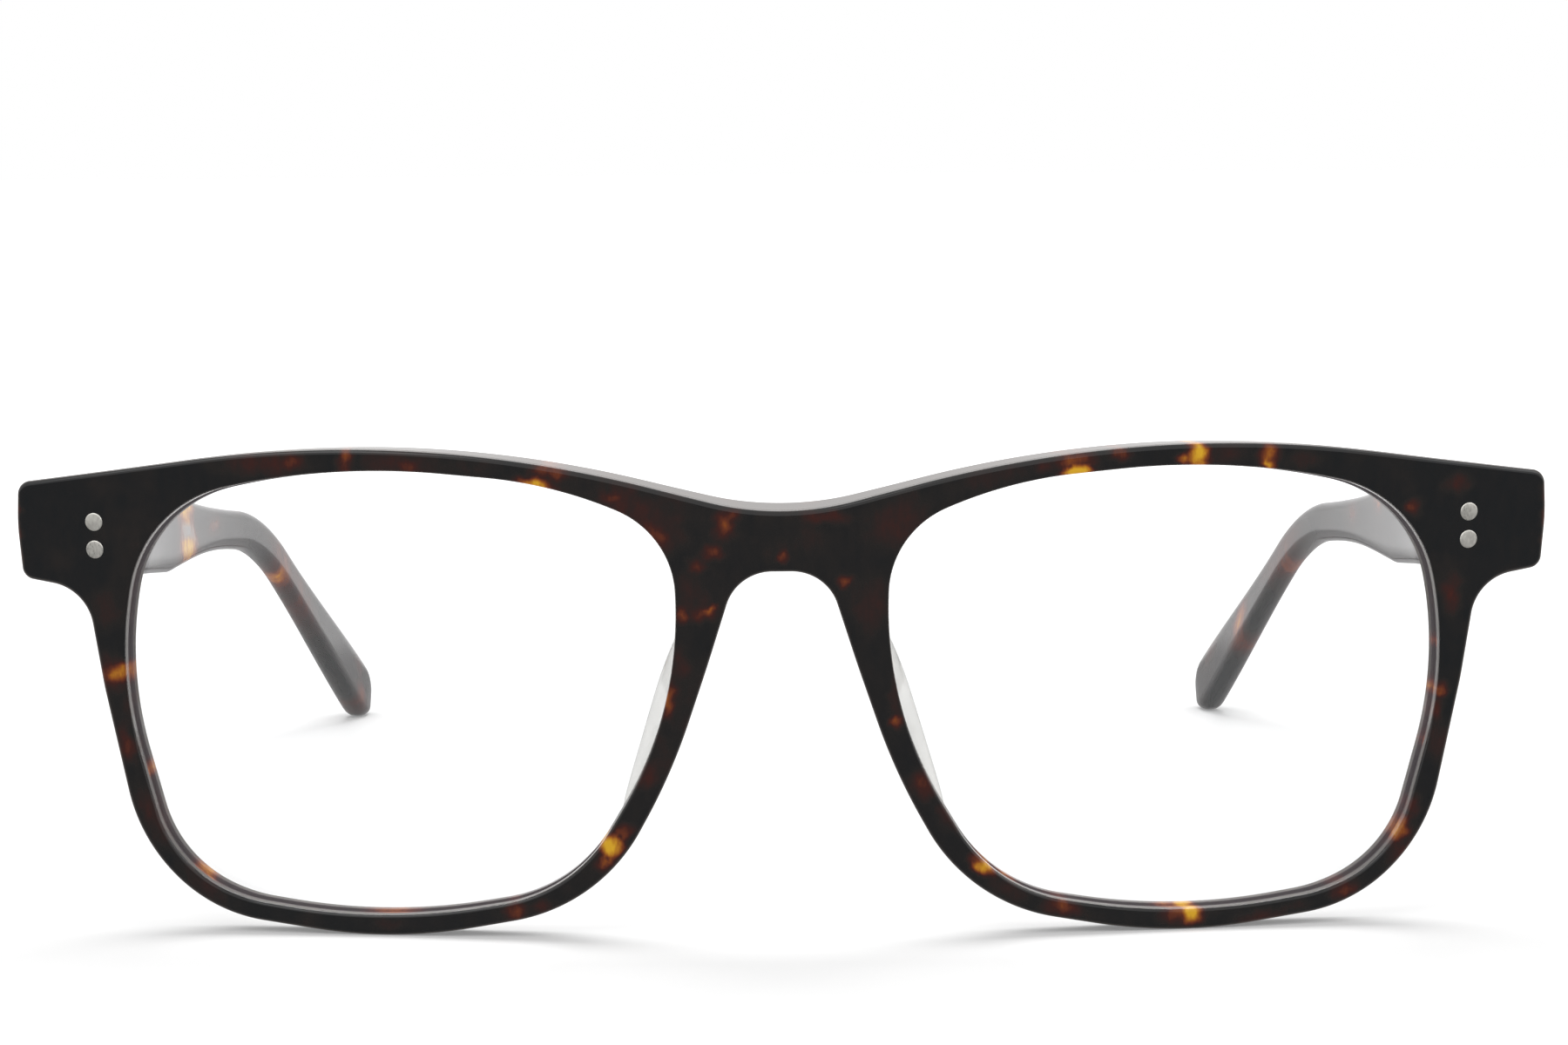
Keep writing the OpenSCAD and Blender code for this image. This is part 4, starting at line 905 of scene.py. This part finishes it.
def makeTemple(side, name):
    # Rings of a rounded rectangle follow the middle line. The first few lie in the butt plane,
    # with the open channel of the core wire, and the last close the paddle's round tip.
    template = sectionTemplate(ts["cornerSteps"], ts["sideSteps"])
    e, length, tipR = ts["buttRound"], ts["length"], ts["paddle"] / 2
    turns = np.linspace(0, np.pi / 2, ts["buttSteps"])[1:]
    body = np.concatenate([ts["firstSteps"],
                           np.arange(ts["buttBlend"], length - tipR, ts["step"])])
    tips = np.radians(ts["tipTurns"])
    s = np.concatenate([[ts["wireDeep"], 0, 0], e * (1 - np.cos(turns)), body,
                        length - tipR * (1 - np.sin(tips))])
    inset = np.concatenate([[0, 0, e], e * (1 - np.sin(turns)), 0 * body, 0 * tips])
    shrink = np.concatenate([np.ones(len(s) - len(tips)), np.cos(tips)])
    w = templeThick(s) * shrink ** ts["tipPower"] - 2 * inset
    h = templeHigh(s) * shrink - 2 * inset
    r = np.minimum(ts["cornerR"] + ts["cornerMore"] * eased(s, *ts["cornerSpan"]) - inset,
                   np.minimum(w, h) * ts["cornerMost"])
    w[:2], h[:2], r[:2] = ts["wireT"], ts["wireH"], ts["wireR"]
    dx = template[None, :, 0] * (w / 2 - r)[:, None] + r[:, None] * template[None, :, 2]
    dz = template[None, :, 1] * (h / 2 - r)[:, None] + r[:, None] * template[None, :, 3]

    def free(at):
        x, y, z, a = (v[:, None] for v in templeMiddle(at))
        return np.stack([x + dx, y + dz * np.sin(a) + fs["centreY"], z + dz * np.cos(a)], -1)

    x, z = templeX + dx, ts["startZ"] + dz
    butt = np.stack([x, buttY(x, z), z], -1)
    blend = np.clip(s / ts["buttBlend"], 0, 1)[:, None, None]
    start = free(np.full_like(s, ts["buttBlend"]))
    rings = np.where(blend < 1, butt * (1 - blend) + start * blend, free(s))
    rings[..., 0] *= side
    along, up = np.repeat(s, template.shape[0]), dz.ravel()
    tint = patchTint(along, up, templeThick(along) / 2 - dx.ravel(), templePatches[name])
    core = (1 - eased(np.abs(up), *ts["wireSeen"])) * (1 - eased(along, *ts["wireEnd"]))
    marks = {"tint": np.append(tint, [0, 0]), "core": np.append(core, [0, 0])}
    piece = closedGrid("temple" + name, rings, endPoles(rings), marks, angle=ts["sharp"])
    low = name.lower()
    settle(piece, low + "_temple", ["temple_" + low], templeTortoise)


for side, name in sides:
    makeTemple(side, name)
    dress(frame["nodes"]["core_wire_" + name.lower()], coreMetal)
print("temples made")


# The rivets.

rivetShape = {
    "radius": 0.85, "proud": 0.04, "dome": 0.03, "rim": 0.07, "gap": 2.6, "inFromEnd": 7.6,
    "leafProud": 0.4, "tail": 0.1, "templeY": 5.4, "templeGap": 4.2, "around": 56,
    "domeRows": (0.3, 0.6, 0.85), "rimSteps": 5, "sharp": 40,
}


def turnedPin(name, origin, axis, across, length):
    # A pin turned round its axis: domed head, rolled rim, straight shank and domed tail.
    rs = rivetShape
    a = np.linspace(0, np.pi / 2, rs["rimSteps"])
    flat = rs["radius"] - rs["rim"]
    head = [(flat * f, -rs["dome"] * (1 - f * f)) for f in rs["domeRows"]]
    head += [(flat + rs["rim"] * math.sin(k), rs["rim"] * (1 - math.cos(k))) for k in a]
    profile = np.array(head + [(p, length - q) for p, q in head[::-1]])
    turn = np.linspace(0, 2 * np.pi, rs["around"], endpoint=False)
    up = np.cross(axis, across)
    ring = np.cos(turn)[:, None] * across + np.sin(turn)[:, None] * up
    rings = origin + profile[:, :1, None] * ring[None] + profile[:, 1:, None] * axis
    poles = np.stack([origin - rs["dome"] * axis, origin + (length + rs["dome"]) * axis])
    return closedGrid(name, rings, poles, angle=rs["sharp"])


def makeRivets(side, name):
    # The front's pins follow the normal of the face curve, the temple's go straight across.
    rs = rivetShape
    low = name.lower()
    rivetX = endX - rs["inFromEnd"]
    a = math.asin(rivetX / fs["faceR"])
    mirror = np.array([side, 1, 1])
    axis = leanedWay(-math.sin(a), math.cos(a), 0) * mirror
    across = leanedWay(math.cos(a), math.sin(a), 0) * mirror
    more = rs["leafProud"] + rs["tail"] + rs["proud"]
    for up, word in ((1, "Upper"), (-1, "Lower")):
        start = placed(rivetX, rivetZ + up * rs["gap"] / 2, 0.0) * mirror - rs["proud"] * axis
        piece = turnedPin("frontRivet" + name + word, start, axis, across, fs["frontT"] + more)
        settle(piece, "front",
               ["front_rivet_%s_%s" % (low, word.lower())], rivetMetal)
    s = hingeAxis[1] - fs["centreY"] + rs["templeY"] - ts["startY"]
    x, y, z = (float(v) for v in templeMiddle(s)[:3])
    thick = float(templeThick(s))
    axis, across = np.array([-side, 0, 0]), np.array([0, 1, 0])
    for up, word in ((1, "Upper"), (-1, "Lower")):
        start = mirror * (x + thick / 2 + rs["proud"], y + fs["centreY"],
                          z + up * rs["templeGap"] / 2)
        piece = turnedPin("templeRivet" + name + word, start, axis, across, thick + more)
        settle(piece, low + "_temple",
               ["temple_rivet_%s_%s" % (low, word.lower())], rivetMetal)


hingeAxis = np.array(next(j for j in frame["record"]["behaviour"]["joints"]
                          if j["name"] == "fold_left")["pos_m"]) * 1000
for side, name in sides:
    makeRivets(side, name)
print("rivets made")


# The hinges and their screws.

hingeShape = {"flat": 1.0, "sharp": 30, "easeFrom": 40}


def softenedCopy(name, node, width):
    # A welded copy of a CAD node with its flats joined and its edges eased by a fine bevel.
    hs = hingeShape
    mesh = bpy.data.meshes.new(name)
    work = bmesh.new()
    work.from_mesh(frame["nodes"][node].data)
    bmesh.ops.remove_doubles(work, verts=work.verts, dist=1e-6)
    bmesh.ops.dissolve_limit(work, angle_limit=math.radians(hs["flat"]), verts=work.verts,
                             edges=work.edges)
    work.to_mesh(mesh)
    work.free()
    mesh.shade_smooth()
    mesh.set_sharp_from_angle(angle=math.radians(hs["sharp"]))
    piece = addObject(name, mesh)
    bevel = piece.modifiers.new("easedEdges", "BEVEL")
    bevel.width, bevel.segments, bevel.limit_method = width * 0.001, 2, "ANGLE"
    bevel.angle_limit = math.radians(hs["easeFrom"])
    return piece


for side, name in sides:
    low = name.lower()
    for title, node, body, slot, metal, edge in (
            ("frontHinge", "front_hinge_", "front", "hinge_metal", hingeMetal, 0.05),
            ("templeHinge", "temple_hinge_", low + "_temple", "hinge_metal", hingeMetal, 0.05),
            ("hingeScrew", "hinge_screw_", "front", "screw_metal", screwMetal, 0.04)):
        piece = softenedCopy(title + name, node + low, edge)
        settle(piece, body, [node + low], metal)
print("hinges and screws made")


# Floor, light and camera.

studio = {
    "floorSize": 6.0, "floorShade": 0.8, "glowFrom": (0.12, 0.7), "glow": (0.20, 0.9),
    "mirrorFrom": (-0.2, 0.4), "mirrorGlow": 1.18,
    "mirror": [(0.20, 0.24), (0.33, 0.40), (0.63, 0.42), (0.735, 1.0)], "surround": 0.50,
}
white = (1.0, 1.0, 1.0, 1.0)
softboxes = {  # place, target, size and power
    "keySoftbox": ((-0.55, -0.75, 0.95), (0, 0, 0.02), (0.7, 0.7), 2.4),
    "fillSoftbox": ((0.8, -0.35, 0.7), (0, 0, 0.02), (0.6, 0.6), 1.5),
    "topSoftbox": ((0.0, 0.52, 1.05), (0, -0.05, 0), (1.2, 0.8), 11.0),
}


def seenShare(tree):
    # 1 for rays that show the background: straight, mirrored and through glass.
    path = addNode(tree, "ShaderNodeLightPath").outputs
    return sums(tree, "MAXIMUM", path["Is Camera Ray"], path["Is Glossy Ray"],
                path["Is Transmission Ray"])


def makeFloor():
    # A pale floor that keeps the eyeglasses' shadow.
    half = studio["floorSize"] / 2
    mesh = bpy.data.meshes.new("floor")
    mesh.from_pydata([(-half, -half, 0), (half, -half, 0), (half, half, 0), (-half, half, 0)], [],
                     [(0, 1, 2, 3)])
    floor = addObject("floor", mesh)
    material, tree, shader, place = newMaterial("paleFloor")
    feed(tree, shader, {"Base Color": (*[studio["floorShade"]] * 3, 1.0), "Roughness": 1.0,
                        "Specular IOR Level": 0.0})
    # Away from the eyeglasses the floor glows up to the white of the background.
    away = addNode(tree, "ShaderNodeVectorMath", {"operation": "LENGTH"}, {0: place})
    level = mapped(tree, away.outputs["Value"], *studio["glowFrom"], *studio["glow"])
    glow = addNode(tree, "ShaderNodeEmission", None,
                   {"Color": white, "Strength": sums(tree, "MULTIPLY", seenShare(tree), level)})
    both = addNode(tree, "ShaderNodeAddShader", None, {0: shader.outputs[0], 1: glow.outputs[0]})
    # Its mirror image in the eyeglasses is dim in front of them and brightens behind them.
    behind = addNode(tree, "ShaderNodeSeparateXYZ", None, {0: place}).outputs["Y"]
    spread = mapped(tree, behind, *studio["mirrorFrom"], way="LINEAR")
    image = addNode(tree, "ShaderNodeEmission", None, {
        "Color": ramp(tree, spread, [(at, (shade,) * 3) for at, shade in studio["mirror"]]),
        "Strength": studio["mirrorGlow"]})
    path = addNode(tree, "ShaderNodeLightPath").outputs
    mirrored = sums(tree, "SUBTRACT", path["Is Glossy Ray"], path["Is Transmission Ray"],
                    clamp=True)
    shown = addNode(tree, "ShaderNodeMixShader", None,
                    {0: mirrored, 1: both.outputs[0], 2: image.outputs[0]})
    feed(tree, tree.nodes["Material Output"], {"Surface": shown.outputs[0]})
    dress(floor, material)


def makeSurround():
    # White where it is seen, and dimmer where it lights the object.
    world = bpy.data.worlds.new("studio")
    scene.world = world
    world.use_nodes = True
    tree = world.node_tree
    more = sums(tree, "MULTIPLY", seenShare(tree), 1 - studio["surround"])
    feed(tree, tree.nodes["Background"],
         {"Color": white, "Strength": sums(tree, "ADD", more, studio["surround"])})


def makeSoftbox(name, place, target, size, power):
    # A rectangular lamp at place that faces target.
    lamp = bpy.data.lights.new(name, "AREA")
    lamp.shape, lamp.size, lamp.size_y = "RECTANGLE", size[0], size[1]
    lamp.energy = power
    turn = (Vector(place) - Vector(target)).to_track_quat("Z", "Y")
    addObject(name, lamp).matrix_world = Matrix.Translation(place) @ turn.to_matrix().to_4x4()


makeFloor()
makeSurround()
for name, box in softboxes.items():
    makeSoftbox(name, *box)

view = {
    "focal": 93.26, "sensor": 36.0, "near": 0.01,
    "pitch": 6.209, "roll": -0.44, "x": 0.00024, "back": 0.370, "height": 0.079,
}
lens = bpy.data.cameras.new("camera")
lens.lens, lens.sensor_width, lens.clip_start = view["focal"], view["sensor"], view["near"]
camera = addObject("camera", lens)
camera.matrix_world = (
    Matrix.Translation((view["x"], fs["centreY"] * 0.001 - view["back"], view["height"]))
    @ Matrix.Rotation(math.radians(90 - view["pitch"]), 4, "X")
    @ Matrix.Rotation(math.radians(view["roll"]), 4, "Z"))
scene.camera = camera
print("studio set")
